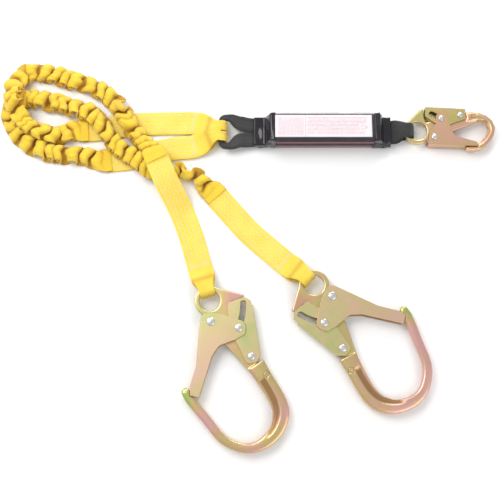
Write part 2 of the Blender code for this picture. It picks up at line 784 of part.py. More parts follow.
def shifted(route):
    """A leg's route, moved with the end of the pack."""
    return [(x + LEGS_X, y, z) for x, y, z in route]


def make_legs():
    bar_fold = math.hypot(BAR_WIDTH, BAR_THICKNESS) / 2 + BAR_CLEARANCE
    legs = (
        ("leg_1", LEG_1_PACK_STRAP, LEG_1_HOOK_STRAP, LEG_1_ELASTIC, LEG_LOOP_SPREAD, HOOKS["rebar_1"]),
        ("leg_2", LEG_2_PACK_STRAP, LEG_2_HOOK_STRAP, LEG_2_ELASTIC, -LEG_LOOP_SPREAD, HOOKS["rebar_2"]),
    )
    for name, *routes, side, hook in legs:
        pack_route, hook_route, elastic_route = [shifted(route) for route in routes]
        bar_point = Vector((BAR_X, side, BAR_HEIGHT))
        towards_pack = Vector((1, 0, 0))
        pack_strap = strap_loop(
            pack_route, bar_point, towards_pack, bar_fold, PACK_EYE_WIDTH, LEG_WEBBING_WIDTH, PACK_EYE_SPREAD
        )
        add_object(f"{name}_pack_strap", pack_strap, YELLOW_WEB)
        end, heading = hook_strap_end(hook)
        fold = hook["design"].fold_radius
        hook_strap = strap_loop(
            hook_route, end, heading, fold, EYE_STRAP_WIDTH, LEG_WEBBING_WIDTH, HOOK_EYE_SPREAD
        )
        add_object(f"{name}_hook_strap", hook_strap, YELLOW_WEB)
        make_elastic(f"{name}_elastic", elastic_route)


def make_elastic(name, route):
    """The gathered elastic part of a leg, as a plain tube along its route."""
    curve = bpy.data.curves.new(name, "CURVE")
    curve.dimensions = "3D"
    curve.bevel_depth = ELASTIC_DIAMETER / 2
    curve.bevel_resolution = 2
    curve.use_fill_caps = True
    points = smooth_route([Vector(p) * MM for p in route], ELASTIC_POINT_SPACING)
    spline = curve.splines.new("POLY")
    spline.points.add(len(points) - 1)
    for target, point in zip(spline.points, points):
        target.co = (point.x, point.y, max(point.z, ELASTIC_DIAMETER / 2), 1)
    curve.materials.append(make_material(name, YELLOW_WEB))
    made = bpy.data.objects.new(name, curve)
    bpy.context.scene.collection.objects.link(made)


# Absorber


def absorber_stations():
    """(x, height of the top) along the cover: low flat ends, ramps, and the tall middle."""
    half = ABSORBER_LENGTH / 2
    left = -half + COVER_LEFT_SHOULDER
    right = half - COVER_RIGHT_SHOULDER
    stations = [(-half, COVER_END_HEIGHT), (left, COVER_END_HEIGHT)]
    for share in (0.35, 0.7, 1.0):
        top = COVER_END_HEIGHT + (COVER_HEIGHT - COVER_END_HEIGHT) * math.sin(share * math.pi / 2)
        stations.append((left + COVER_RAMP * share, top))
    mirrored = []
    for share in (1.0, 0.7, 0.35):
        top = COVER_END_HEIGHT + (COVER_HEIGHT - COVER_END_HEIGHT) * math.sin(share * math.pi / 2)
        mirrored.append((right - COVER_RAMP * share, top))
    return stations + mirrored + [(right, COVER_END_HEIGHT), (half, COVER_END_HEIGHT)]


def rounded_box_section(x, half_width, low, high, radius):
    """A rounded rectangle across X, as points."""
    points = []
    for centre_y, centre_z, start in (
        (half_width - radius, high - radius, 0),
        (-half_width + radius, high - radius, 90),
        (-half_width + radius, low + radius, 180),
        (half_width - radius, low + radius, 270),
    ):
        for y, z in arc((centre_y, centre_z), radius, start, start + 90, 4):
            points.append(Vector((x, y, z)))
    return points


def make_cover():
    """The vinyl sleeve: a thin shell, open at both ends."""
    bm = bmesh.new()
    shells = []
    for inset in (0, COVER_WALL):
        rows = []
        for x, top in absorber_stations():
            ring = rounded_box_section(x, COVER_WIDTH / 2 - inset, inset, top - inset, COVER_CORNER - inset)
            rows.append([bm.verts.new(p) for p in ring])
        for row, following in zip(rows, rows[1:]):
            for i in range(len(row)):
                bm.faces.new((row[i - 1], row[i], following[i], following[i - 1]))
        shells.append(rows)
    for end in (0, -1):
        outer, inner = shells[0][end], shells[1][end]
        for i in range(len(outer)):
            bm.faces.new((outer[i - 1], outer[i], inner[i], inner[i - 1]))
    add_object("absorber_cover", bm, CLEAR_VINYL)


def pack_inside():
    """The space for the folded tear webbing: its two ends, its floor and its roof."""
    left = -ABSORBER_LENGTH / 2 + COVER_LEFT_SHOULDER + COVER_RAMP + 1 * MM
    right = ABSORBER_LENGTH / 2 - COVER_RIGHT_SHOULDER - COVER_RAMP - 1 * MM
    floor = COVER_WALL + JOINT_GAP
    roof = COVER_HEIGHT - COVER_WALL - 2 * JOINT_GAP - LABEL_THICKNESS
    return left, right, floor, roof


def make_tear_webbing():
    """The folded tear webbing: one band laid back and forth, which rips apart in a fall."""
    left, right, floor, roof = pack_inside()
    pitch = (roof - floor + TEAR_PLY_GAP) / TEAR_PLIES
    thickness = pitch - TEAR_PLY_GAP
    bend = pitch / 2
    across = Vector((0, 1, 0))
    width = COVER_WIDTH - 2 * (COVER_WALL + TEAR_SIDE_GAP)
    reach = bend + thickness / 2
    stations = []
    for ply in range(TEAR_PLIES):
        height = floor + thickness / 2 + pitch * ply
        forward = ply % 2 == 0
        start, end = (left + reach, right - reach) if forward else (right - reach, left + reach)
        up = Vector((0, 0, 1 if forward else -1))
        stations.append((Vector((start, 0, height)), across, up, width, thickness))
        stations.append((Vector((end, 0, height)), across, up, width, thickness))
        if ply == TEAR_PLIES - 1:
            continue
        side = 1 if forward else -1
        for step in range(1, 4):
            angle = math.pi * step / 4
            out = Vector((math.sin(angle) * side, 0, -math.cos(angle)))
            middle = Vector((end, 0, height + bend)) + out * bend
            stations.append((middle, across, -out * side, width, thickness))
    add_object("tear_webbing", ribbon(stations), PINK_WEB)


def make_label():
    high = COVER_HEIGHT - COVER_WALL - JOINT_GAP
    corners = [(-1, -1), (1, -1), (1, 1), (-1, 1)]
    outline = [Vector((x * LABEL_LENGTH / 2, y * LABEL_WIDTH / 2)) for x, y in corners]
    add_object("absorber_label", prism(outline, high - LABEL_THICKNESS, high), PAPER)


def make_snap_strap():
    """The black webbing that leaves the cover, folds round the snap hook's eye and comes back."""
    end, heading = hook_strap_end(HOOKS["snap"])
    start = ABSORBER_LENGTH / 2 - COVER_RIGHT_SHOULDER
    middle = COVER_END_HEIGHT / 2 / MM
    route = [(start / MM, 0, middle), (start / MM + 10, 0, middle)]
    width = ABSORBER_WEBBING_WIDTH
    strap = strap_loop(route, end, heading, SNAP.fold_radius, EYE_STRAP_WIDTH, width, 27 * MM)
    add_object("snap_end_strap", strap, BLACK_WEB)


def make_leg_link():
    """Black webbing, folded lengthwise, from the cover through both leg loops and back."""
    half = ABSORBER_LENGTH / 2
    bar = BAR_X / MM
    corner = (LEG_LOOP_SPREAD + PACK_EYE_WIDTH / 2 + FOLD_CLEARANCE) / MM
    out = corner + BAR_WIDTH / MM * 0.9
    inner_end = -(half - COVER_LEFT_SHOULDER + 4 * MM) / MM
    cover_middle = COVER_END_HEIGHT / 2 / MM
    height = BAR_HEIGHT / MM
    side = [
        (inner_end, 10, cover_middle), (-half / MM - 8, 11, cover_middle + 1),
        (bar + 26, out - 4, height), (bar + 13, out, height), (bar + 3, out - 3, height),
        (bar, corner - 1, height), (bar, corner / 2, height),
    ]
    route = side + [(x, -y, z) for x, y, z in side[::-1]]
    points = smooth_route([Vector(p) * MM for p in route], STRAP_POINT_SPACING)
    stations = []
    for index, here in enumerate(points):
        along = (points[min(index + 1, len(points) - 1)] - points[max(index - 1, 0)]).normalized()
        across = Vector((-along.y, along.x, 0)).normalized()
        up = along.cross(across)
        up = up if up.z > 0 else -up
        gathered = ease((-half + 4 * MM - here.x) / (-half + 4 * MM - BAR_X - 12 * MM))
        width = ABSORBER_WEBBING_WIDTH / 2 * (1 - gathered) + BAR_WIDTH * gathered
        thickness = 2 * PLY * (1 - gathered) + BAR_THICKNESS * gathered
        stations.append((here, across, up, width, thickness))
    add_object("leg_end_strap", ribbon(stations), BLACK_WEB)


def main():
    clear_scene()
    make_cover()
    make_label()
    make_tear_webbing()
    make_snap_strap()
    make_leg_link()
    make_legs()
    for prefix, hook in HOOKS.items():
        make_hook(prefix, **hook)


main()
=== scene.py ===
"""Looks of a shock absorbing lanyard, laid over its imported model.

Two gathered elastic legs run from a sleeved tear-webbing pack to two large rebar hooks, and
a small double-locking snap hook hangs at the pack's other end. Lengths are in metres, +Z is up,
and every piece is made where it lies, so no object is moved after it is built.
"""

import json
import math
import random

import bmesh
import bpy
import numpy as np
from mathutils import Matrix, Vector, noise


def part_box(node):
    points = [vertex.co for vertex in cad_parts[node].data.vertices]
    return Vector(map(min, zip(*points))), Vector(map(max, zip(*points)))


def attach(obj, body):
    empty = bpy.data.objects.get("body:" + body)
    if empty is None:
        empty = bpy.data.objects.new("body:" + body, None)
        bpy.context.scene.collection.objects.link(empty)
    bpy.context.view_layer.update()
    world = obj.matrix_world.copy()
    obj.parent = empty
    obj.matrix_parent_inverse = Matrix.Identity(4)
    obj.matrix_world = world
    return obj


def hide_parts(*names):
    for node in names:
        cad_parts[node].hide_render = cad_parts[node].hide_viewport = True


bl_info = {
    "name": "Shock absorbing lanyard",
    "version": (1, 0, 0),
    "blender": (4, 5, 0),
    "location": "View3D > Sidebar > Lanyard",
    "description": "Builds the webbing, elastic, hooks and pack of a twin-leg lanyard",
    "category": "Add Mesh",
}

MM = 0.001
UP = Vector((0, 0, 1))

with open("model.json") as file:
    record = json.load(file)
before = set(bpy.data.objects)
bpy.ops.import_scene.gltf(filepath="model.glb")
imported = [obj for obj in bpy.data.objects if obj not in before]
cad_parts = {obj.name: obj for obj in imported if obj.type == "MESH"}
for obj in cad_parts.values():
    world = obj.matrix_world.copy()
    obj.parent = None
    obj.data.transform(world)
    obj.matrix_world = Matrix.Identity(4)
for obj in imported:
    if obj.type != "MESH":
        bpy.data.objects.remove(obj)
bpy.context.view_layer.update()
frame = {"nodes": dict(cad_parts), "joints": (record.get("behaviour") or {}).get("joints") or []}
NODES = frame["nodes"]
JOINTS = {joint["name"]: joint for joint in frame["joints"]}

# Webbing
PLY = 2.2 * MM
PLY_GAP = 0.3 * MM
STRAP_WIDTH = 35 * MM
EYE_STRAP_WIDTH = 22 * MM
PACK_EYE_WIDTH = 15 * MM
EYE_SPREAD = 40 * MM
EYE_TAPER = 23 * MM
PACK_TAPER = 36 * MM
PACK_SPREAD = 42 * MM
STRAIGHT_TO_FOLD = 4 * MM
STRAP_STEP = 2 * MM
HOOK_FOLD = 7.72 * MM
BAR_FOLD = 6.21 * MM

# Gathered part of a leg. The diameter is the cords' declared one: larger than the band is wide
CUFF = 9 * MM
FLOOR_GAP = 0.25 * MM

# Pack
PACK_HALF = 101 * MM
SLEEVE_HALF_WIDTH = 22 * MM
SLEEVE_HEIGHT = 36.5 * MM
SLEEVE_END_HEIGHT = 16 * MM
LEFT_SHOULDER = 16 * MM
RIGHT_SHOULDER = 11 * MM
RAMP = 9 * MM

# Routes, in millimetres: where each strap and each elastic part lies
PACK_STRAPS = {
    "leg_1": [
        (-356, 5, 2.7), (-322, 8, 2.7), (-288, 14, 2.7), (-250, 16, 2.7), (-215, 16.5, 2.8),
        (-190, 16, 4.2),
    ],
    "leg_2": [
        (-320, -42, 2.7), (-284, -38, 2.7), (-247, -29, 2.7), (-215, -22.5, 2.8), (-190, -20, 4.2),
    ],
}
HOOK_STRAPS = {
    "leg_1": [
        (-244, -44, 30), (-237, -60, 29), (-229, -78, 25), (-217, -100, 14), (-204, -127, 3.4),
        (-191, -162, 2.7), (-180, -200, 3.4),
    ],
    "leg_2": [
        (-160, -92, 2.7), (-134, -122, 2.7), (-107, -152, 2.7), (-72, -183, 2.9), (-52, -200, 4),
    ],
}
ELASTICS = {
    "leg_1": [
        (-348, 5.8, 11), (-357.5, 5, 11), (-370, 3.6, 11), (-382, -2, 11.5), (-398, -5, 14), (-418, -1, 18.5),
        (-436, 9, 24.5), (-449, 25, 30), (-456, 43, 34), (-457, 62, 32), (-451, 81, 18),
        (-439, 94, 11.5), (-421, 95, 11), (-399, 92, 11), (-379, 85, 11), (-357, 78, 11),
        (-334, 70, 11), (-319, 57, 12), (-306, 39, 16.5), (-292, 20, 17.5), (-277, 1, 17),
        (-264, -16, 18.5), (-252, -31, 25), (-246, -41, 29), (-242, -49, 29.5),
    ],
    "leg_2": [
        (-312, -41, 11), (-321, -42, 11), (-335, -42, 11), (-350, -36, 11), (-366, -34, 11), (-386, -33, 11),
        (-408, -28, 11), (-431, -19, 11), (-451, -2, 11), (-464, 25, 11), (-460, 46, 11),
        (-446, 55, 11), (-430, 55, 11), (-413, 51, 11), (-396, 49, 11), (-377, 42, 11),
        (-360, 38, 12), (-346, 30, 16), (-335, 17, 17), (-323, 4, 17), (-313, -9, 17),
        (-302, -23, 17), (-287, -34, 17), (-274, -43, 17), (-262, -55, 16.5), (-249, -61, 11.5),
        (-230, -62, 11), (-214, -62, 11), (-198, -67, 11), (-181, -76, 11), (-162, -90, 11),
        (-155, -97.5, 11),
    ],
}
# Where each leg's loop hangs on the black link, and what its hook's swing joint is called
LEG_SIDE = {"leg_1": 8.2 * MM, "leg_2": -8.2 * MM}
LEG_HOOK = {"leg_1": "rebar_hook_1", "leg_2": "rebar_hook_2"}
LINK_X = -149 * MM
LINK_HEIGHT = 12 * MM

# Hooks: CAD prefix, body, sizes of the drawing, and how each one lies
HOOKS = {
    "snap": {"body": "snap_hook", "scale": 136 / 136.4, "turn": 0, "flipped": False},
    "rebar_1": {"body": "rebar_hook_1", "scale": 232 / 231.8, "turn": 0, "flipped": False},
    "rebar_2": {"body": "rebar_hook_2", "scale": 232 / 231.8, "turn": 60, "flipped": True},
}
REBAR_GROOVE = [(69, -76), (82, -97), (89.5, -114), (91, -130), (84, -147), (73, -158)]
SNAP_GROOVE = [(72, 27.5), (80, 22), (82.6, 13), (78.6, 3.6), (71.5, -5), (64, -10)]


# Curves and shapes


def ease(value):
    """Smooth step from 0 to 1, for a number or an array."""
    value = np.clip(value, 0, 1)
    return value * value * (3 - 2 * value)


def smooth_route(points, spacing):
    """Evenly spaced points on the Catmull-Rom curve through given points."""
    knots = [Vector(p) for p in points]
    knots = [knots[0] * 2 - knots[1]] + knots + [knots[-1] * 2 - knots[-2]]
    dense = []
    for a, b, c, d in zip(knots, knots[1:], knots[2:], knots[3:]):
        for step in range(20):
            t = step / 20
            square = (2 * a - 5 * b + 4 * c - d) * t**2
            cube = (3 * b - a - 3 * c + d) * t**3
            dense.append((2 * b + (c - a) * t + square + cube) / 2)
    dense.append(knots[-2])
    return evenly(dense, spacing)


def evenly(line, spacing):
    """Points a fixed distance apart along a line."""
    lengths = [0.0]
    for a, b in zip(line, line[1:]):
        lengths.append(lengths[-1] + (b - a).length)
    count = max(2, round(lengths[-1] / spacing))
    picked = []
    index = 0
    for step in range(count + 1):
        target = lengths[-1] * step / count
        while index < len(line) - 2 and lengths[index + 1] < target:
            index += 1
        share = (target - lengths[index]) / (lengths[index + 1] - lengths[index])
        picked.append(line[index].lerp(line[index + 1], share))
    return picked


def arc(centre, radius, start, end, steps):
    """Points on an arc, from one angle to another in degrees."""
    points = []
    for step in range(steps + 1):
        angle = math.radians(start + (end - start) * step / steps)
        points.append((centre[0] + radius * math.cos(angle), centre[1] + radius * math.sin(angle)))
    return points


def tube_mesh(name, rings, across=None, along=None, closed_ends=True):
    """Rings of points joined into a tube. `across` and `along` give the cloth's own lengths as UVs."""
    rows = len(rings)
    sides = len(rings[0])
    vertices = [tuple(p) for ring in rings for p in ring]
    faces = []
    for row in range(rows - 1):
        for side in range(sides):
            here = row * sides
            after = (side + 1) % sides
            faces.append((here + side, here + after, here + sides + after, here + sides + side))
    if closed_ends:
        faces.append(tuple(range(sides))[::-1])
        faces.append(tuple(range((rows - 1) * sides, rows * sides)))
    mesh = bpy.data.meshes.new(name)
    mesh.from_pydata(vertices, [], faces)
    if across is not None:
        layer = mesh.uv_layers.new(name="cloth")
        for loop in mesh.loops:
            row, side = divmod(loop.vertex_index, sides)
            layer.data[loop.index].uv = (across[side], along[row])
    return face_out(mesh)


def face_out(mesh):
    """Turns every face outwards and shades the mesh smooth."""
    bm = bmesh.new()
    bm.from_mesh(mesh)
    bmesh.ops.recalc_face_normals(bm, faces=bm.faces)
    bm.to_mesh(mesh)
    bm.free()
    mesh.polygons.foreach_set("use_smooth", [True] * len(mesh.polygons))
    mesh.update()
    return mesh


def turned_profile(profile, steps):
    """A closed lathe-turned shell about Z from (radius, height) points that start and end on the axis."""
    bm = bmesh.new()
    rows = []
    for radius, height in profile:
        if radius == 0:
            rows.append([bm.verts.new((0, 0, height))])
            continue
        angles = [2 * math.pi * step / steps for step in range(steps)]
        rows.append([bm.verts.new((radius * math.cos(a), radius * math.sin(a), height)) for a in angles])
    for lower, upper in zip(rows, rows[1:]):
        for i in range(steps):
            ring = [lower[i - 1] if len(lower) > 1 else lower[0], lower[i] if len(lower) > 1 else None]
            ring += [upper[i] if len(upper) > 1 else None, upper[i - 1] if len(upper) > 1 else upper[0]]
            bm.faces.new([v for v in ring if v is not None])
    return bm


def place(name, mesh, material, body, replaced=()):
    """Shows a finished mesh as a piece that rides on a CAD body."""
    made = bpy.data.objects.new(name, mesh)
    bpy.context.scene.collection.objects.link(made)
    mesh.materials.clear()
    mesh.materials.append(material)
    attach(made, body)
    if replaced:
        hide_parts(*replaced)
    return made


def bake(source, name):
    """The mesh that an object's modifiers give. The object itself is removed."""
    depsgraph = bpy.context.evaluated_depsgraph_get()
    evaluated = source.evaluated_get(depsgraph)
    mesh = bpy.data.meshes.new_from_object(evaluated, preserve_all_data_layers=True, depsgraph=depsgraph)
    mesh.name = name
    bpy.data.objects.remove(source)
    return mesh


def working_copy(node):
    """A merged copy of a CAD node's mesh on an object of its own, ready for modifiers."""
    mesh = NODES[node].data.copy()
    bm = bmesh.new()
    bm.from_mesh(mesh)
    bmesh.ops.remove_doubles(bm, verts=bm.verts, dist=1e-6)
    bm.to_mesh(mesh)
    bm.free()
    copy = bpy.data.objects.new(f"{node}_working", mesh)
    bpy.context.scene.collection.objects.link(copy)
    return copy


def add_modifier(target, kind, **settings):
    modifier = target.modifiers.new(kind.lower(), kind)
    for key, value in settings.items():
        setattr(modifier, key, value)
    return modifier


# Materials


def shader_material(name):
    """A new material: its node tree and its Principled shader."""
    material = bpy.data.materials.new(name)
    material.use_nodes = True
    tree = material.node_tree
    return material, tree, tree.nodes["Principled BSDF"]


def new_group(name, inputs, outputs):
    """A shader node group with float or colour sockets. Inputs are (name, kind, default)."""
    group = bpy.data.node_groups.new(name, "ShaderNodeTree")
    for label, kind, default in inputs:
        socket = group.interface.new_socket(label, in_out="INPUT", socket_type=kind)
        if default is not None:
            socket.default_value = default
    for label, kind in outputs:
        group.interface.new_socket(label, in_out="OUTPUT", socket_type=kind)
    return group, group.nodes.new("NodeGroupInput"), group.nodes.new("NodeGroupOutput")


def math_node(tree, operation, a, b=None, clamp=False):
    node = tree.nodes.new("ShaderNodeMath")
    node.operation = operation
    node.use_clamp = clamp
    for socket, value in zip(node.inputs, (a, b)):
        if value is None:
            continue
        if isinstance(value, (int, float)):
            socket.default_value = value
        else:
            tree.links.new(value, socket)
    return node.outputs[0]


def noise_node(tree, vector, scale, detail=3.0, roughness=0.5, distortion=0.0):
    node = tree.nodes.new("ShaderNodeTexNoise")
    node.inputs["Scale"].default_value = scale
    node.inputs["Detail"].default_value = detail
    node.inputs["Roughness"].default_value = roughness
    node.inputs["Distortion"].default_value = distortion
    tree.links.new(vector, node.inputs["Vector"])
    return node.outputs["Fac"]


def ramp_node(tree, factor, stops):
    node = tree.nodes.new("ShaderNodeValToRGB")
    elements = node.color_ramp.elements
    for element, (position, _) in zip(elements, stops):
        element.position = position
    for position, _ in stops[2:]:
        elements.new(position)
    for element, (position, colour) in zip(elements, stops):
        element.position = position
        element.color = (*colour, 1)
    tree.links.new(factor, node.inputs["Fac"])
    return node.outputs["Color"]


def mix_node(tree, factor, first, second, blend="MIX"):
    node = tree.nodes.new("ShaderNodeMix")
    node.data_type = "RGBA"
    node.blend_type = blend
    colours = [socket for socket in node.inputs if socket.type == "RGBA"]
    for socket, value in ((node.inputs["Factor"], factor), (colours[0], first), (colours[1], second)):
        if isinstance(value, (int, float)):
            socket.default_value = value
        elif isinstance(value, tuple):
            socket.default_value = (*value, 1)
        else:
            tree.links.new(value, socket)
    return [socket for socket in node.outputs if socket.type == "RGBA"][0]


def attribute_node(tree, name):
    node = tree.nodes.new("ShaderNodeAttribute")
    node.attribute_name = name
    return node.outputs["Fac"]


def bump_node(tree, shader, height, strength, distance):
    node = tree.nodes.new("ShaderNodeBump")
    node.inputs["Strength"].default_value = strength
    node.inputs["Distance"].default_value = distance
    tree.links.new(height, node.inputs["Height"])
    tree.links.new(node.outputs["Normal"], shader.inputs["Normal"])


def place_group(tree, group, **values):
    node = tree.nodes.new("ShaderNodeGroup")
    node.node_tree = group
    for label, value in values.items():
        if isinstance(value, (int, float, tuple)):
            node.inputs[label].default_value = value
        else:
            tree.links.new(value, node.inputs[label])
    return node


def zinc_group():
    """Yellow zinc plating: gold that drifts to rose and green, with mottling and scuffs, dark brown painted
    shade where its shade input asks, and paler gold where its edge input asks.
    """
    group, given, made = new_group(
        "yellow zinc plating",
        [
            ("Vector", "NodeSocketVector", None),
            ("Rose", "NodeSocketFloat", 0.0),
            ("Painted shade", "NodeSocketFloat", 0.0),
            ("Edge", "NodeSocketFloat", 0.0),
        ],
        [("Color", "NodeSocketColor"), ("Roughness", "NodeSocketFloat"), ("Height", "NodeSocketFloat")],
    )
    vector = given.outputs["Vector"]
    drift = noise_node(group, vector, 17, detail=2, distortion=0.6)
    drift = math_node(group, "ADD", drift, math_node(group, "MULTIPLY", given.outputs["Rose"], 0.3))
    film = ramp_node(
        group,
        drift,
        [
            (0.26, (0.42, 0.50, 0.13)),
            (0.40, (0.60, 0.50, 0.20)),
            (0.52, (0.66, 0.47, 0.22)),
            (0.63, (0.73, 0.44, 0.30)),
            (0.78, (0.76, 0.41, 0.40)),
        ],
    )
    mottle = noise_node(group, vector, 260, detail=5, roughness=0.65)
    film = mix_node(group, math_node(group, "MULTIPLY", mottle, 0.22), film, (0.52, 0.42, 0.20))
    # Painted shade: this input paints the film dark brown, in grooves, stamps and along rounded sheet edges.
    film = mix_node(group, given.outputs["Painted shade"], film, (0.26, 0.13, 0.045))
    # The edge input pales the film: on forgings, their convex edges, as wear and painted highlight; on most
    # gates and levers, the whole face.
    film = mix_node(group, math_node(group, "MULTIPLY", given.outputs["Edge"], 0.4), film, (0.86, 0.76, 0.50))
    group.links.new(film, made.inputs["Color"])
    scuffs = noise_node(group, vector, 900, detail=3, roughness=0.7)
    rough = math_node(group, "MULTIPLY", mottle, 0.26)
    rough = math_node(group, "ADD", rough, math_node(group, "MULTIPLY", scuffs, 0.10))
    rough = math_node(group, "ADD", rough, 0.17)
    rough = math_node(group, "ADD", rough, math_node(group, "MULTIPLY", given.outputs["Painted shade"], 0.15))
    group.links.new(rough, made.inputs["Roughness"])
    height = math_node(group, "ADD", math_node(group, "MULTIPLY", mottle, 0.7), scuffs)
    group.links.new(height, made.inputs["Height"])
    return group


def rose_along(tree, coordinates, prefix, base):
    """Rose tint that grows from a hook's gate pivot towards its nose."""
    matrix = hook_matrix(prefix)
    away = tree.nodes.new("ShaderNodeVectorMath")
    away.operation = "SUBTRACT"
    away.inputs[1].default_value = matrix.translation
    tree.links.new(coordinates, away.inputs[0])
    distance = tree.nodes.new("ShaderNodeVectorMath")
    distance.operation = "DOT_PRODUCT"
    distance.inputs[1].default_value = -matrix.col[1].to_3d()
    tree.links.new(away.outputs["Vector"], distance.inputs[0])
    grown = math_node(tree, "DIVIDE", distance.outputs["Value"], 0.09, clamp=True)
    return math_node(tree, "ADD", math_node(tree, "MULTIPLY", grown, 0.55), base)


def zinc_material(name, group, rose, marked, bump, prefix=None):
    """Plated steel. `marked` pieces carry their own recess, edge and rose attributes; the recess attribute is
    painted shade.
    """
    material, tree, shader = shader_material(name)
    coordinates = tree.nodes.new("ShaderNodeTexCoord").outputs["Object"]
    values = {
        "Vector": coordinates,
        "Rose": rose if prefix in (None, "snap") else rose_along(tree, coordinates, prefix, rose),
        "Painted shade": attribute_node(tree, "painted_shade"),
        "Edge": 0.0 if prefix == "snap" else 0.75,
    }
    if marked:
        values = {
            "Vector": coordinates,
            "Rose": attribute_node(tree, "rose"),
            "Painted shade": attribute_node(tree, "painted_shade"),
            "Edge": attribute_node(tree, "edge"),
        }
    film = place_group(tree, group, **values)
    tree.links.new(film.outputs["Color"], shader.inputs["Base Color"])
    tree.links.new(film.outputs["Roughness"], shader.inputs["Roughness"])
    shader.inputs["Metallic"].default_value = 0.92
    shader.inputs["Coat Weight"].default_value = 0.25
    shader.inputs["Coat Roughness"].default_value = 0.25
    bump_node(tree, shader, film.outputs["Height"], bump, 0.15 * MM)
    return material


def steel_material(name, colour, roughness, turned):
    """Bare steel with a fine grain: finer on turned pieces, coarser on a drawn wire."""
    material, tree, shader = shader_material(name)
    coordinates = tree.nodes.new("ShaderNodeTexCoord").outputs["Object"]
    grain = noise_node(tree, coordinates, 2600 if turned else 900, detail=4, roughness=0.7)
    tint = mix_node(tree, math_node(tree, "MULTIPLY", grain, 0.5), colour, tuple(c * 0.72 for c in colour))
    tree.links.new(tint, shader.inputs["Base Color"])
    rough = math_node(tree, "ADD", math_node(tree, "MULTIPLY", grain, 0.22), roughness)
    tree.links.new(rough, shader.inputs["Roughness"])
    shader.inputs["Metallic"].default_value = 1.0
    bump_node(tree, shader, grain, 0.25, 0.06 * MM)
    return material


def weave_group():
    """Webbing weave in the cloth's own lengths: slanted yarns that meet in chevrons, and their shine."""
    group, given, made = new_group(
        "webbing weave",
        [
            ("UV", "NodeSocketVector", None),
            ("Vector", "NodeSocketVector", None),
            ("Yarn", "NodeSocketFloat", 1.1 * MM),
            ("Chevron", "NodeSocketFloat", 8.0 * MM),
        ],
        [("Height", "NodeSocketFloat"), ("Shade", "NodeSocketFloat"), ("Fuzz", "NodeSocketFloat")],
    )
    parts = group.nodes.new("ShaderNodeSeparateXYZ")
    group.links.new(given.outputs["UV"], parts.inputs[0])
    across, along = parts.outputs["X"], parts.outputs["Y"]
    folded = math_node(group, "PINGPONG", across, given.outputs["Chevron"])
    slant = math_node(group, "ADD", along, math_node(group, "MULTIPLY", folded, 0.9))
    ribs = math_node(group, "DIVIDE", slant, given.outputs["Yarn"])
    ribs = math_node(group, "SINE", math_node(group, "MULTIPLY", ribs, 2 * math.pi))
    columns = math_node(group, "DIVIDE", across, given.outputs["Yarn"])
    columns = math_node(group, "SINE", math_node(group, "MULTIPLY", columns, 2 * math.pi * 0.8))
    height = math_node(group, "ADD", ribs, math_node(group, "MULTIPLY", columns, 0.55))
    group.links.new(height, made.inputs["Height"])
    shade = math_node(group, "MULTIPLY_ADD", height, 0.22)
    shade.node.inputs[2].default_value = 0.5
    patches = noise_node(group, given.outputs["Vector"], 45, detail=3)
    patches = math_node(group, "MULTIPLY", math_node(group, "SUBTRACT", patches, 0.5), 0.7)
    shade = math_node(group, "ADD", shade, patches)
    group.links.new(shade, made.inputs["Shade"])
    fuzz = noise_node(group, given.outputs["Vector"], 1600, detail=3, roughness=0.7)
    group.links.new(fuzz, made.inputs["Fuzz"])
    return group


def cloth_material(name, group, low, high, yarn, chevron, roughness, sheen, deep=None, bump=0.6):
    """Woven cloth that runs from `low` in its hollows to `high` on its yarns: painted shade and shine of the
    weave, with patches of tone.
    """
    material, tree, shader = shader_material(name)
    coordinates = tree.nodes.new("ShaderNodeTexCoord")
    weave = place_group(
        tree, group, UV=coordinates.outputs["UV"], Vector=coordinates.outputs["Object"],
        Yarn=yarn, Chevron=chevron,
    )
    colour = ramp_node(tree, weave.outputs["Shade"], [(0.15, low), (0.75, high)])
    # Painted shade: where the hollow attribute is set, the cloth is painted the deep colour.
    if deep is not None:
        colour = mix_node(tree, attribute_node(tree, "hollow"), colour, deep)
    tree.links.new(colour, shader.inputs["Base Color"])
    rough = math_node(tree, "ADD", math_node(tree, "MULTIPLY", weave.outputs["Fuzz"], 0.2), roughness - 0.1)
    tree.links.new(rough, shader.inputs["Roughness"])
    shader.inputs["Sheen Weight"].default_value = sheen
    shader.inputs["Sheen Roughness"].default_value = 0.45
    shader.inputs["Specular IOR Level"].default_value = 0.35
    fuzz = math_node(tree, "MULTIPLY", weave.outputs["Fuzz"], 0.8)
    height = math_node(tree, "ADD", weave.outputs["Height"], fuzz)
    bump_node(tree, shader, height, bump, 0.16 * MM)
    return material


def thread_material(name, colour):
    material, tree, shader = shader_material(name)
    coordinates = tree.nodes.new("ShaderNodeTexCoord").outputs["Object"]
    twist = noise_node(tree, coordinates, 2200, detail=2)
    tint = mix_node(tree, twist, colour, tuple(c * 0.7 for c in colour))
    tree.links.new(tint, shader.inputs["Base Color"])
    shader.inputs["Roughness"].default_value = 0.55
    shader.inputs["Sheen Weight"].default_value = 0.2
    bump_node(tree, shader, twist, 0.4, 0.1 * MM)
    return material


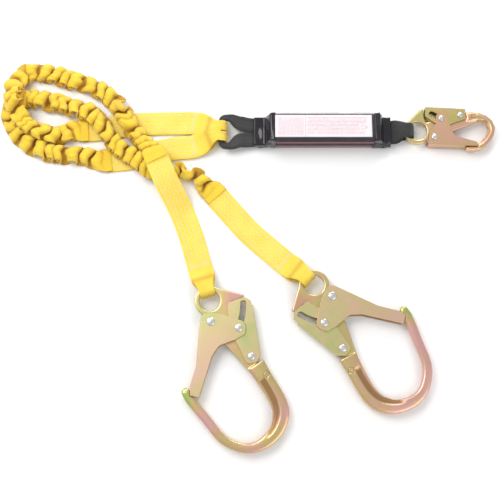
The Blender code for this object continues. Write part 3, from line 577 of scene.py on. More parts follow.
def vinyl_material(name, colour, alpha):
    """Glossy heat-formed vinyl with soft ripples and a few scuffs; the ripples' crests are painted paler, a
    painted sheen.
    """
    material, tree, shader = shader_material(name)
    coordinates = tree.nodes.new("ShaderNodeTexCoord").outputs["Object"]
    ripples = noise_node(tree, coordinates, 60, detail=3, distortion=0.8)
    scuffs = noise_node(tree, coordinates, 700, detail=4, roughness=0.75)
    # Painted sheen: the colour pales on the ripples' crests.
    ripple_sheen = tuple(min(1, c * 2.2) for c in colour)
    tint = mix_node(tree, math_node(tree, "MULTIPLY", ripples, 0.6), colour, ripple_sheen)
    tree.links.new(tint, shader.inputs["Base Color"])
    rough = math_node(tree, "MULTIPLY_ADD", scuffs, 0.22)
    rough.node.inputs[2].default_value = 0.06
    tree.links.new(rough, shader.inputs["Roughness"])
    shader.inputs["Alpha"].default_value = alpha
    shader.inputs["Specular IOR Level"].default_value = 0.3
    shader.inputs["Coat Weight"].default_value = 0.3
    shader.inputs["Coat Roughness"].default_value = 0.05
    relief = math_node(tree, "ADD", ripples, math_node(tree, "MULTIPLY", scuffs, 0.05))
    bump_node(tree, shader, relief, 0.35, 1.2 * MM)
    return material


# Hooks


def hook_matrix(prefix):
    """From a hook's drawing plane, with its gate pivot at the origin, to where the hook lies."""
    hook = HOOKS[prefix]
    pivot = Vector(JOINTS[f"{hook['body']}_gate_hinge"]["pos_m"])
    flip = Matrix.Rotation(math.pi if hook["flipped"] else 0, 4, "Y")
    return Matrix.Translation(pivot) @ Matrix.Rotation(math.radians(hook["turn"]), 4, "Z") @ flip


def vertex_array(mesh):
    points = np.empty(len(mesh.vertices) * 3)
    mesh.vertices.foreach_get("co", points)
    return points.reshape(-1, 3)


def edge_array(mesh):
    edges = np.empty(len(mesh.edges) * 2, dtype=np.int64)
    mesh.edges.foreach_get("vertices", edges)
    return edges.reshape(-1, 2)


def neighbour_mean(mesh, values):
    """For every vertex, the mean of a value over its neighbours."""
    edges = edge_array(mesh)
    total = np.zeros_like(values)
    count = np.zeros(len(values))
    for near, far in ((0, 1), (1, 0)):
        np.add.at(total, edges[:, near], values[edges[:, far]])
        np.add.at(count, edges[:, near], 1)
    return total / count.reshape((-1,) + (1,) * (values.ndim - 1))


def write_attribute(mesh, name, values, domain="POINT"):
    layer = mesh.attributes.new(name, "FLOAT", domain)
    layer.data.foreach_set("value", np.asarray(values, dtype=np.float32))


def distance_to_line(points, line):
    """Distance from each 2-D point to a polyline, and how far along the line that is, from 0 to 1."""
    best = np.full(len(points), 1e9)
    share = np.zeros(len(points))
    spans = len(line) - 1
    for index in range(spans):
        start, end = np.array(line[index]), np.array(line[index + 1])
        step = end - start
        t = np.clip(((points - start) @ step) / (step @ step), 0, 1)
        gap = np.linalg.norm(points - (start + t[:, None] * step), axis=1)
        nearer = gap < best
        best = np.where(nearer, gap, best)
        share = np.where(nearer, (index + t) / spans, share)
    return best, share


def forged_body(prefix, material, look):
    """The forged body: softened edges, a rolled groove round the bowl, and a stamped lot mark."""
    hook = HOOKS[prefix]
    rough_shape = working_copy(f"{prefix}_hook_body")
    add_modifier(rough_shape, "REMESH", mode="VOXEL", voxel_size=look.forging_voxel, use_smooth_shade=True)
    mesh = bake(rough_shape, f"{prefix}_forging")
    points = vertex_array(mesh)
    for _ in range(look.forging_smoothing):
        points += (neighbour_mean(mesh, points) - points) * 0.6
        points -= (neighbour_mean(mesh, points) - points) * 0.28
    mesh.vertices.foreach_set("co", points.ravel())
    mesh.update()
    to_world = np.array(hook_matrix(prefix))
    local = (points - to_world[:3, 3]) @ to_world[:3, :3]
    flat = local[:, :2]
    scale = hook["scale"] * MM
    groove = SNAP_GROOVE if prefix == "snap" else REBAR_GROOVE
    line = [tuple(p[:2]) for p in smooth_route([(x * scale, y * scale, 0) for x, y in groove], 3 * MM)]
    gap, share = distance_to_line(flat, line)
    half_width = (2.6 if prefix == "snap" else 5.0) * MM
    depth = (0.8 if prefix == "snap" else 1.5) * MM
    normals = np.empty(len(mesh.vertices) * 3)
    mesh.vertex_normals.foreach_get("vector", normals)
    normals = normals.reshape(-1, 3)
    facing = np.clip(np.abs(normals @ to_world[:3, 2]) * 2 - 0.8, 0, 1)
    ends = ease(share / 0.08) * ease((1 - share) / 0.12)
    hollow = (1 - ease((gap - half_width * 0.45) / (half_width * 0.75))) * ends * facing
    side = np.sign(local[:, 2])
    points -= (side * hollow * depth)[:, None] * to_world[:3, 2]
    mark = lot_mark(flat, prefix, scale) * facing
    points -= (side * mark * 0.35 * MM)[:, None] * to_world[:3, 2]
    mesh.vertices.foreach_set("co", points.ravel())
    mesh.update()
    mesh.vertex_normals.foreach_get("vector", normals.reshape(-1))
    # Convex edges are painted paler gold: wear, and a painted highlight.
    bulge = np.einsum("ij,ij->i", points - neighbour_mean(mesh, points), normals)
    worn_and_highlit = np.clip(bulge / (look.forging_voxel * 0.10), 0, 1)
    write_attribute(mesh, "edge", neighbour_mean(mesh, worn_and_highlit * (1 - np.clip(mark, 0, 1)) * 0.8))
    spine = ease((flat[:, 0] / scale - 12) / 16) * ease((flat[:, 1] / scale - 14) / 14) * (prefix != "snap")
    # Painted shade: the groove, the stamp and the spine area are painted darker brown.
    write_attribute(mesh, "painted_shade", np.clip(hollow * 0.85 + mark * 0.8 + spine * 0.3, 0, 1))
    if prefix == "snap":
        bowl = ease(flat[:, 0] / scale / 70)
    else:
        bowl = np.clip((-flat[:, 1] / scale - 60) / 60, 0, 1)
    tip = flat[:, 0] / scale if prefix != "snap" else -flat[:, 0] / scale
    nose = np.clip((-20 - tip) / 14, 0, 1) * (flat[:, 1] / scale < -70) if prefix != "snap" else 0 * bowl
    rise = ease(flat[:, 1] / scale / 30) if prefix != "snap" else ease((-4 - flat[:, 0] / scale) / 20)
    write_attribute(mesh, "rose", bowl * 0.55 - nose * 1.4 - rise * 0.35 + spine * 1.1)
    mesh.polygons.foreach_set("use_smooth", [True] * len(mesh.polygons))
    place(f"{prefix}_forged_body", mesh, material, hook["body"], [f"{prefix}_hook_body"])


def lot_mark(flat, prefix, scale):
    """Depth of a small square stamp with a bar in it: 1 in its lines, 0 elsewhere."""
    if prefix == "snap":
        centre, angle, half = np.array((60, 33.5)) * scale, -3, 2.6 * MM
    else:
        centre, angle, half = np.array((77.5, -72.5)) * scale, -32, 3.6 * MM
    turn = math.radians(angle)
    x = (flat[:, 0] - centre[0]) * math.cos(turn) + (flat[:, 1] - centre[1]) * math.sin(turn)
    y = (flat[:, 1] - centre[1]) * math.cos(turn) - (flat[:, 0] - centre[0]) * math.sin(turn)
    border = np.abs(np.maximum(np.abs(x), np.abs(y)) - half)
    bar = np.maximum(np.abs(y), np.abs(x) - half * 0.4)
    return 1 - ease((np.minimum(border, bar) - 0.35 * MM) / (0.7 * MM))


def pressed_sheet(node, body, material, look):
    """A folded sheet part, its cut edges rounded and its faces kept flat in the light; the rounded edges are
    painted darker, as a painted shade outline.
    """
    shape = working_copy(node)
    add_modifier(shape, "DECIMATE", decimate_type="DISSOLVE", angle_limit=math.radians(1))
    add_modifier(
        shape, "BEVEL", width=look.sheet_edge, segments=3, limit_method="ANGLE",
        angle_limit=math.radians(40), use_clamp_overlap=True, harden_normals=False,
    )
    mesh = bake(shape, f"{node}_sheet")
    upright = np.empty(len(mesh.polygons) * 3)
    mesh.polygons.foreach_get("normal", upright)
    upright = np.abs(upright.reshape(-1, 3)[:, 2])
    mesh.polygons.foreach_set("use_smooth", upright < 0.999)
    # Painted shade: the tilted bevel faces are painted dark, outlining the sheet.
    write_attribute(mesh, "painted_shade", 0.7 * ((upright > 0.05) & (upright < 0.97)), "FACE")
    place(f"{node}_pressed", mesh, material, body, [node])


def domed_rivet(prefix, part, body, material, node):
    """A rivet with two peened domes: a low crown, a pressed ring and a rolled edge."""
    low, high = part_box(node)
    centre = (low + high) / 2
    top = (high.z - low.z) / 2
    head = (high.x - low.x) / 2
    rise = 1.8 * MM
    shaft = head * 0.55
    crown = [(0, top), (head * 0.34, top - rise * 0.04), (head * 0.42, top - rise * 0.13)]
    crown += [(head * 0.50, top - rise * 0.12)]
    for step in range(7):
        angle = math.pi / 2 * step / 6
        reach = 0.58 + 0.42 * math.sin(angle)
        crown.append((head * reach, top - rise * (0.16 + 0.80 * (1 - math.cos(angle)))))
    crown += [(head * 0.97, top - rise), (shaft, top - rise)]
    profile = crown + [(radius, -height) for radius, height in crown[::-1]]
    bm = turned_profile(profile, 40)
    bmesh.ops.translate(bm, verts=bm.verts, vec=centre)
    mesh = bpy.data.meshes.new(f"{prefix}_{part}")
    bm.to_mesh(mesh)
    bm.free()
    place(f"{prefix}_{part}_domed", face_out(mesh), material, body, [node])


# Webbing


def strap_stations(route, end, heading, fold, eye_width, flat_width, spread, taper):
    """A looped strap's stations (middle, across, up, width): its lower ply, its fold, its upper ply."""
    waypoints = [Vector(p) * MM for p in route]
    straight = fold + STRAIGHT_TO_FOLD
    waypoints += [end - heading * straight, end]
    points = smooth_route(waypoints, STRAP_STEP)
    total = sum((b - a).length for a, b in zip(points, points[1:]))
    travelled = 0.0
    lower, upper = [], []
    for index, here in enumerate(points):
        if index:
            travelled += (here - points[index - 1]).length
        ahead = points[min(index + 1, len(points) - 1)]
        behind = points[max(index - 1, 0)]
        along = heading if index == len(points) - 1 else (ahead - behind).normalized()
        across = Vector((-along.y, along.x, 0)).normalized()
        up = along.cross(across)
        up = up if up.z > 0 else -up
        left = total - travelled
        parted = float(ease((spread - left) / spread))
        narrowed = float(ease((taper - left) / (taper - 2 * MM)))
        half_gap = PLY_GAP / 2 + (fold - PLY_GAP / 2) * parted
        width = flat_width + (eye_width - flat_width) * narrowed
        lower.append((here - up * (half_gap + PLY / 2), across, up, width))
        upper.append((here + up * (half_gap + PLY / 2), across, up, width))
    folded = []
    across = lower[-1][1]
    for step in range(1, 16):
        angle = math.pi * step / 16
        out = heading * math.sin(angle) - UP * math.cos(angle)
        folded.append((end + out * (fold + PLY / 2), across, -out, eye_width))
    back = [(middle, side, -up, width) for middle, side, up, width in upper[::-1]]
    return lower, folded, back


def webbing_section(width, thickness, bunched):
    """One ply across: flat with round selvedges, and rippled lengthwise where it is bunched."""
    points = []
    columns = 20
    for face in (1, -1):
        for step in range(columns + 1):
            u = face * (1 - 2 * step / columns)
            edge = max(0.0, 1 - abs(u) ** 9) ** 0.5
            ripple = bunched * math.sin(u * 7.5) * (1 - abs(u)) * 0.5
            points.append((u * width / 2, face * edge * thickness / 2 + ripple))
    return points


def webbing_mesh(name, stations, thickness, bunch=0.0, narrow=STRAP_WIDTH):
    """A band of webbing along its stations, with the cloth's own lengths as its UVs."""
    rings = []
    along = []
    travelled = 0.0
    for index, (middle, across, up, width) in enumerate(stations):
        if index:
            travelled += (middle - stations[index - 1][0]).length
        along.append(travelled)
        squeezed = bunch * max(0.0, 1 - width / narrow)
        section = webbing_section(width, thickness, squeezed)
        rings.append([middle + across * a + up * h for a, h in section])
    columns = len(rings[0]) // 2 - 1
    line = [(1 - 2 * step / columns) * narrow / 2 for step in range(columns + 1)]
    return tube_mesh(name, rings, line + [-a for a in line], along)


def stitch_tree(material):
    """Geometry nodes: a thread stitch laid every `Pitch` along each line of the mesh."""
    tree = bpy.data.node_groups.new("stitch rows", "GeometryNodeTree")
    sockets = [
        ("Geometry", "NodeSocketGeometry"),
        ("Pitch", "NodeSocketFloat"),
        ("Length", "NodeSocketFloat"),
        ("Thread", "NodeSocketFloat"),
        ("Seed", "NodeSocketInt"),
    ]
    for label, kind in sockets:
        tree.interface.new_socket(label, in_out="INPUT", socket_type=kind)
    tree.interface.new_socket("Geometry", in_out="OUTPUT", socket_type="NodeSocketGeometry")
    node = tree.nodes.new
    link = tree.links.new
    given, made = node("NodeGroupInput"), node("NodeGroupOutput")
    to_curve, resample = node("GeometryNodeMeshToCurve"), node("GeometryNodeResampleCurve")
    resample.mode = "LENGTH"
    link(given.outputs["Geometry"], to_curve.inputs["Mesh"])
    link(to_curve.outputs["Curve"], resample.inputs["Curve"])
    link(given.outputs["Pitch"], resample.inputs["Length"])
    to_points = node("GeometryNodeCurveToPoints")
    to_points.mode = "EVALUATED"
    link(resample.outputs["Curve"], to_points.inputs["Curve"])
    bead = node("GeometryNodeMeshUVSphere")
    bead.inputs["Segments"].default_value = 7
    bead.inputs["Rings"].default_value = 6
    bead.inputs["Radius"].default_value = 0.5
    aligned = node("FunctionNodeAlignRotationToVector")
    aligned.axis = "Z"
    link(to_points.outputs["Tangent"], aligned.inputs["Vector"])
    scale = node("ShaderNodeCombineXYZ")
    link(given.outputs["Thread"], scale.inputs["X"])
    link(given.outputs["Thread"], scale.inputs["Y"])
    link(given.outputs["Length"], scale.inputs["Z"])
    jitter = node("FunctionNodeRandomValue")
    jitter.data_type = "FLOAT"
    jitter_low, jitter_high = [s for s in jitter.inputs if s.type == "VALUE"][:2]
    jitter_low.default_value, jitter_high.default_value = 0.85, 1.12
    link(given.outputs["Seed"], jitter.inputs["Seed"])
    sized = node("ShaderNodeVectorMath")
    sized.operation = "SCALE"
    link(scale.outputs["Vector"], sized.inputs[0])
    link([s for s in jitter.outputs if s.type == "VALUE"][0], sized.inputs["Scale"])
    instance = node("GeometryNodeInstanceOnPoints")
    link(to_points.outputs["Points"], instance.inputs["Points"])
    link(bead.outputs["Mesh"], instance.inputs["Instance"])
    link(aligned.outputs["Rotation"], instance.inputs["Rotation"])
    link(sized.outputs["Vector"], instance.inputs["Scale"])
    realized, painted = node("GeometryNodeRealizeInstances"), node("GeometryNodeSetMaterial")
    painted.inputs["Material"].default_value = material
    link(instance.outputs["Instances"], realized.inputs["Geometry"])
    link(realized.outputs["Geometry"], painted.inputs["Geometry"])
    link(painted.outputs["Geometry"], made.inputs["Geometry"])
    return tree


def stitch(name, lines, tree, material, pitch, length, thread, body, slot):
    """Lays stitches along lines of points and shows them as one piece."""
    mesh = bpy.data.meshes.new(f"{name}_lines")
    vertices, edges = [], []
    for line in lines:
        start = len(vertices)
        vertices += [tuple(p) for p in line]
        edges += [(i, i + 1) for i in range(start, len(vertices) - 1)]
    mesh.from_pydata(vertices, edges, [])
    holder = bpy.data.objects.new(f"{name}_holder", mesh)
    bpy.context.scene.collection.objects.link(holder)
    modifier = holder.modifiers.new("stitches", "NODES")
    modifier.node_group = tree
    values = {"Pitch": pitch, "Length": length, "Thread": thread, "Seed": 7}
    for item in tree.interface.items_tree:
        if item.in_out == "INPUT" and item.name in values:
            modifier[item.identifier] = values[item.name]
    holder.update_tag()
    baked = bake(holder, name)
    points = vertex_array(baked)
    points[:, 2] = np.maximum(points[:, 2], 0.0)
    baked.vertices.foreach_set("co", points.ravel())
    baked.polygons.foreach_set("use_smooth", [True] * len(baked.polygons))
    return place(name, baked, material, body)


def row_line(stations, offset, height, start, end):
    """A line on a strap's face, a set way across it, between two lengths along it."""
    line = []
    travelled = 0.0
    for index, (middle, across, up, width) in enumerate(stations):
        if index:
            travelled += (middle - stations[index - 1][0]).length
        if start <= travelled <= end:
            line.append(middle + across * offset * width / STRAP_WIDTH + up * height)
    return line


def zigzag_line(stations, offset, reach, height, start, end, step):
    """A zigzag on a strap's face about a line a set way across it."""
    middle_line = row_line(stations, offset, height, start, end)
    side_line = row_line(stations, offset + reach, height, start, end)
    line = []
    for index, (middle, side) in enumerate(zip(middle_line, side_line)):
        if index % step == 0:
            turn = 1 if (index // step) % 2 else -1
            line.append(middle + (side - middle) * turn)
    return line


def shade_folds(mesh, stations):
    """Marks where a strap is darker: at its fold, where it narrows, and where the elastic grows out of it."""
    middles = np.array([tuple(station[0]) for station in stations])
    travelled = np.concatenate(([0], np.cumsum(np.linalg.norm(np.diff(middles, axis=0), axis=1))))
    from_open_end = np.minimum(travelled, travelled[-1] - travelled)
    from_fold = travelled[-1] / 2 - from_open_end
    shade = 0.5 * np.exp(-((from_fold / (7 * MM)) ** 2))
    shade += 0.5 * np.exp(-(((from_fold - 31 * MM) / (4.5 * MM)) ** 2))
    shade += 0.5 * np.exp(-(((from_open_end - 4 * MM) / (5 * MM)) ** 2))
    write_attribute(mesh, "hollow", np.repeat(shade, len(mesh.vertices) // len(stations)))


def leg_strap(name, stations, cloth, thread, tree, look, bar_tacks):
    """One flat doubled part of a leg, with its edge rows and its zigzags on both faces."""
    lower, folded, back = stations
    upper = [(middle, across, -up, width) for middle, across, up, width in back[::-1]]
    mesh = webbing_mesh(name, lower + folded + back, PLY, bunch=look.eye_bunching)
    shade_folds(mesh, lower + folded + back)
    place(f"{name}_webbing", mesh, cloth, "absorber", [name])
    length = sum((b[0] - a[0]).length for a, b in zip(lower, lower[1:]))
    end = length - bar_tacks
    lines, zigzags = [], []
    for face, sign in ((upper, 1), (lower, -1)):
        height = sign * (PLY / 2 + 0.05 * MM)
        for offset in (-13.2, -11.2, 11.2, 13.2):
            lines.append(row_line(face, offset * MM, height, 8 * MM, end))
        for offset in (-6.5, 0, 6.5):
            zigzags.append(zigzag_line(face, offset * MM, 2.2 * MM, height, 8 * MM, end, 2))
        for back_off in (0, 2.2 * MM, 4.4 * MM):
            middle, across, up, width = face[min(len(face) - 1, int((end - back_off) / STRAP_STEP))]
            reach = width / 2 - 3 * MM
            lines.append([middle + across * reach * s + up * height for s in (-1, -0.5, 0, 0.5, 1)])
    for part, rows, sizes in (
        ("edge_rows", lines, (2.6 * MM, 2.3 * MM, 0.75 * MM)),
        ("zigzags", zigzags, (2.0 * MM, 2.2 * MM, 0.7 * MM)),
    ):
        stitch(f"{name}_{part}", rows, tree, thread, *sizes, "absorber", "yellow_webbing")


# Elastic parts


def jittered_phase(total, wave, seed):
    """How many waves of the meander lie before each point, with waves of unequal length."""
    pick = random.Random(seed)
    ends = [0.0]
    while ends[-1] < total + 2 * wave:
        ends.append(ends[-1] + wave * pick.uniform(0.55, 1.55))
    return np.array(ends)


def slow_noise(positions, across, scale, seed):
    """Smooth noise over the cloth, from about -1 to 1."""
    values = np.empty(positions.shape)
    for index, (s, u) in enumerate(zip(positions.ravel(), across.ravel())):
        values.flat[index] = noise.noise(Vector((s / scale, u, seed * 7.3)))
    return values * 1.7


def blocked_side(points, centres, other, other_radius):
    """Moves points back to their own side of the plane midway between two legs where they cross."""
    for index in range(len(centres)):
        gaps = other - centres[index]
        spans = np.linalg.norm(gaps, axis=1)
        nearest = int(np.argmin(spans))
        span = spans[nearest]
        if span > 2 * other_radius:
            continue
        towards = gaps[nearest] / span
        reach = (points[index] - centres[index]) @ towards
        limit = span / 2 - 0.2 * MM
        excess = np.clip(reach - limit, 0, None)
        points[index] -= excess[:, None] * towards
    return points


def gathered_tube(name, route, other_route, flats, look, seed, edge_on):
    """Tubular webbing gathered over its elastic core: a wide band that meanders back and forth.

    `flats` gives, at the two ends, the height of the flat strap that the band
    grows out of. `edge_on` lists (start, end) lengths where the band has rolled on its edge.
    """
    line = smooth_route([Vector(p) * MM for p in route], look.elastic_step)
    centres = np.array([tuple(p) for p in line])
    steps = np.linalg.norm(np.diff(centres, axis=0), axis=1)
    s = np.concatenate(([0], np.cumsum(steps)))
    total = s[-1]
    from_start, from_end = s, total - s
    tangent = np.gradient(centres, axis=0)
    tangent /= np.linalg.norm(tangent, axis=1)[:, None]
    level = np.stack([-tangent[:, 1], tangent[:, 0], 0 * s], axis=1)
    level /= np.linalg.norm(level, axis=1)[:, None]
    rise = np.cross(tangent, level)
    near = ease((from_start - CUFF) / (24 * MM)) * ease((from_end - CUFF) / (20 * MM))
    roll = slow_noise(s, 0 * s, 55 * MM, seed) * look.gather_roll
    for start, end in edge_on:
        roll = roll + ease((s - start) / (20 * MM)) * ease((end - s) / (20 * MM)) * (1.35 - roll)
    roll = roll * near
    cosine, sine = np.cos(roll)[:, None], np.sin(roll)[:, None]
    side = level * cosine + rise * sine
    out = rise * cosine - level * sine

    ends = jittered_phase(total, look.gather_wave, seed)
    columns = 30
    u = np.linspace(-1, 1, columns + 1)
    grid_s, grid_u = np.meshgrid(s, u, indexing="ij")
    fan = slow_noise(grid_s, grid_u * 1.1, 34 * MM, seed + 1)
    skew = slow_noise(grid_s, 0 * grid_u, 60 * MM, seed + 2) * grid_u
    warped = grid_s + (fan * 0.30 + skew * 0.34) * look.gather_wave
    phase = np.interp(warped.ravel(), ends, np.arange(len(ends))).reshape(warped.shape) * 2 * math.pi
    size = 1 + 0.35 * slow_noise(grid_s, 0.6 * grid_u, 30 * MM, seed + 3)
    calm = near[:, None]
    lift = look.gather_height * size * np.sin(phase) * calm
    lean = -look.gather_lean * np.sin(2 * phase) * calm
    width = 35 * MM + (look.gather_width - 35 * MM) * near
    width = width * (1 + 0.10 * slow_noise(s, 0 * s, 26 * MM, seed + 4) * near)
    frill = 1 + 0.10 * np.cos(phase + 0.8) * calm
    curl = -look.gather_curl * grid_u**2 * calm * (1 + 0.5 * fan)
    wrinkle = 0.6 * MM * slow_noise(grid_s, grid_u * 4, 5 * MM, seed + 5) * (0.35 + 0.65 * calm)
    middle = (
        centres[:, None, :]
        + side[:, None, :] * (grid_u * frill * width[:, None] / 2)[..., None]
        + out[:, None, :] * (lift + curl + wrinkle)[..., None]
        + tangent[:, None, :] * lean[..., None]
    )
    path = centres.copy()
    start_weight = 1 - ease((from_start - CUFF) / (24 * MM))
    for at_end, weight in ((0, start_weight), (1, 1 - ease((from_end - CUFF) / (20 * MM)))):
        drop = (flats[at_end] - centres[:, 2]) * weight
        middle[:, :, 2] += drop[:, None]
        path[:, 2] += drop
    ds = np.gradient(middle, axis=0)
    du = np.gradient(middle, axis=1)
    normal = np.cross(ds, du)
    normal /= np.linalg.norm(normal, axis=2)[..., None] + 1e-12
    flip = np.sign(np.einsum("ijk,ik->ij", normal, out).mean())
    normal *= flip
    thick = look.gather_ply + (6.4 * MM - look.gather_ply) * (1 - near)
    belly = thick[:, None] / 2 * np.sqrt(np.clip(1 - np.abs(grid_u) ** 5, 0, 1))
    upper = middle + normal * belly[..., None]
    lower = middle - normal * belly[..., None]
    points = np.concatenate([upper, lower[:, -2:0:-1]], axis=1)
    other = np.array([tuple(p) for p in smooth_route([Vector(p) * MM for p in other_route], 3 * MM)])
    points = blocked_side(points, centres, other, 16 * MM)
    depth = np.clip(under_height(points) - points[:, :, 2], 0, None)
    points[:, :, 2] = np.maximum(points[:, :, 2] + depth * 0.97, FLOOR_GAP)
    # Painted shade: the fold valleys and flanks, and the band's underside beneath the crests, are painted
    # towards the deep colour.
    hollow = np.clip(-lift / look.gather_height, 0, 1) * calm
    hollow = np.clip(hollow * 0.8 + 0.35 * np.abs(np.cos(phase)) * calm, 0, 1)
    painted_fold_shade = np.concatenate([hollow, (1 - hollow)[:, -2:0:-1] * 0.6], axis=1)
    across = list(u * 17.5 * MM) + list(u[-2:0:-1] * 17.5 * MM)
    stretch = list(s * 2.1)
    rings = [[Vector(p) for p in ring] for ring in points]
    mesh = tube_mesh(name, rings, across, stretch)
    write_attribute(mesh, "hollow", painted_fold_shade.ravel())
    return mesh, [Vector(p) for p in path]


def under_height(points):
    """What lies beneath a leg: the floor, or a flat strap that it crosses."""
    floor = np.full(points.shape[:2], FLOOR_GAP)
    for route in (*PACK_STRAPS.values(), *HOOK_STRAPS.values()):
        line = [tuple(v * MM for v in p[:2]) for p in route if p[2] < 5]
        gap, _ = distance_to_line(points[:, :, :2].reshape(-1, 2), line)
        over = (gap < 18.2 * MM).reshape(floor.shape)
        floor = np.where(over & (points[:, :, 2] > 0), np.maximum(floor, 5.6 * MM), floor)
    return floor


# Pack


def sleeve_top(x):
    """Height of the sleeve's roof along the pack: low ends, ramps, and the tall middle."""
    left = (x + PACK_HALF - LEFT_SHOULDER) / RAMP
    right = (PACK_HALF - RIGHT_SHOULDER - x) / RAMP
    share = min(max(min(left, right), 0.0), 1.0)
    return SLEEVE_END_HEIGHT + (SLEEVE_HEIGHT - SLEEVE_END_HEIGHT) * math.sin(share * math.pi / 2)


def sleeve_ring(x, inset, radius, ripple):
    """The sleeve across the pack at one place, as a rounded box that ripples a little."""
    half, top = SLEEVE_HALF_WIDTH - inset, sleeve_top(x) - inset
    points = []
    for centre_y, centre_z, start in (
        (half - radius, top - radius, 0),
        (-half + radius, top - radius, 90),
        (-half + radius, inset + radius, 180),
        (half - radius, inset + radius, 270),
    ):
        for y, z in arc((centre_y, centre_z), radius, start, start + 90, 6):
            points.append((y, z))
    ring = []
    for index, (y, z) in enumerate(points):
        after = points[(index + 1) % len(points)]
        pieces = 6 if math.dist((y, z), after) > 4 * MM else 1
        for piece in range(pieces):
            share = piece / pieces
            ring.append((y + (after[0] - y) * share, z + (after[1] - z) * share))
    made = []
    for y, z in ring:
        wave = noise.noise(Vector((x * 95, y * 160, z * 160))) * ripple
        pull = 1 - max(0.0, wave) / half
        lift = FLOOR_GAP if z < 1 * MM else 0
        made.append(Vector((x, y * pull, max(z - max(0.0, wave) * (z > top * 0.6), lift))))
    return made


def sleeve_part(name, start, end, inset, wall, ripple, material, replaced=()):
    """A length of the vinyl sleeve, with its inner wall, from one end to the other."""
    steps = max(4, round((end - start) / (1.6 * MM)))
    stations = [start + (end - start) * step / steps for step in range(steps + 1)]
    outer = [sleeve_ring(x, inset, 2.5 * MM, ripple) for x in stations]
    inner = [sleeve_ring(x, inset + wall, 2.5 * MM - wall, ripple) for x in stations]
    loop = outer + inner[::-1]
    mesh = tube_mesh(name, loop + [loop[0]], closed_ends=False)
    bm = bmesh.new()
    bm.from_mesh(mesh)
    bmesh.ops.remove_doubles(bm, verts=bm.verts, dist=1e-7)
    bmesh.ops.recalc_face_normals(bm, faces=bm.faces)
    bm.to_mesh(mesh)
    bm.free()
    place(name, mesh, material, "absorber", replaced)


def tear_stations():
    """The folded tear webbing: one band laid back and forth, seven plies deep."""
    left = -PACK_HALF + LEFT_SHOULDER + RAMP + 1 * MM
    right = PACK_HALF - RIGHT_SHOULDER - RAMP - 1 * MM
    floor = 1.1 * MM
    roof = SLEEVE_HEIGHT - 0.8 * MM - 0.6 * MM - 0.3 * MM
    plies = 7
    pitch = (roof - floor + 0.3 * MM) / plies
    thickness = pitch - 0.3 * MM
    width = 40 * MM
    reach = pitch / 2 + thickness / 2
    stations = []
    for ply in range(plies):
        height = floor + thickness / 2 + pitch * ply
        forward = ply % 2 == 0
        start, end = (left + reach, right - reach) if forward else (right - reach, left + reach)
        up = Vector((0, 0, 1 if forward else -1))
        for step in range(41):
            x = start + (end - start) * step / 40
            stations.append((Vector((x, 0, height)), Vector((0, 1, 0)), up, width))
        if ply == plies - 1:
            continue
        way = 1 if forward else -1
        for step in range(1, 8):
            angle = math.pi * step / 8
            out = Vector((math.sin(angle) * way, 0, -math.cos(angle)))
            middle = Vector((end, 0, height + pitch / 2)) + out * pitch / 2
            stations.append((middle, Vector((0, 1, 0)), -out * way, width))
    return stations, thickness


def label_mesh(name):
    """The printed label: a thin sheet whose edges lift a little, with its own UVs in lengths."""
    length, width, high = 141 * MM, 34 * MM, SLEEVE_HEIGHT + 0.15 * MM
    rows, columns = 70, 16
    bm = bmesh.new()
    layer = bm.loops.layers.uv.new("cloth")
    shells = []
    for level in (0, -0.25 * MM):
        grid = []
        for i in range(rows + 1):
            x = (i / rows - 0.5) * length
            line = []
            for j in range(columns + 1):
                y = (j / columns - 0.5) * width
                wave = noise.noise(Vector((x * 55, y * 90, 3.0))) * 0.28 * MM
                line.append(bm.verts.new((x, y, high + wave + level)))
            grid.append(line)
        shells.append(grid)
    for grid in shells:
        for i in range(rows):
            for j in range(columns):
                bm.faces.new((grid[i][j], grid[i + 1][j], grid[i + 1][j + 1], grid[i][j + 1]))
    rim = [(i, 0) for i in range(rows)] + [(rows, j) for j in range(columns)]
    rim += [(i, columns) for i in range(rows, 0, -1)] + [(0, j) for j in range(columns, 0, -1)]
    for (i, j), (k, m) in zip(rim, rim[1:] + rim[:1]):
        bm.faces.new((shells[0][i][j], shells[0][k][m], shells[1][k][m], shells[1][i][j]))
    for face in bm.faces:
        for loop in face.loops:
            loop[layer].uv = (loop.vert.co.x, loop.vert.co.y)
    mesh = bpy.data.meshes.new(name)
    bm.to_mesh(mesh)
    bm.free()
    return face_out(mesh)


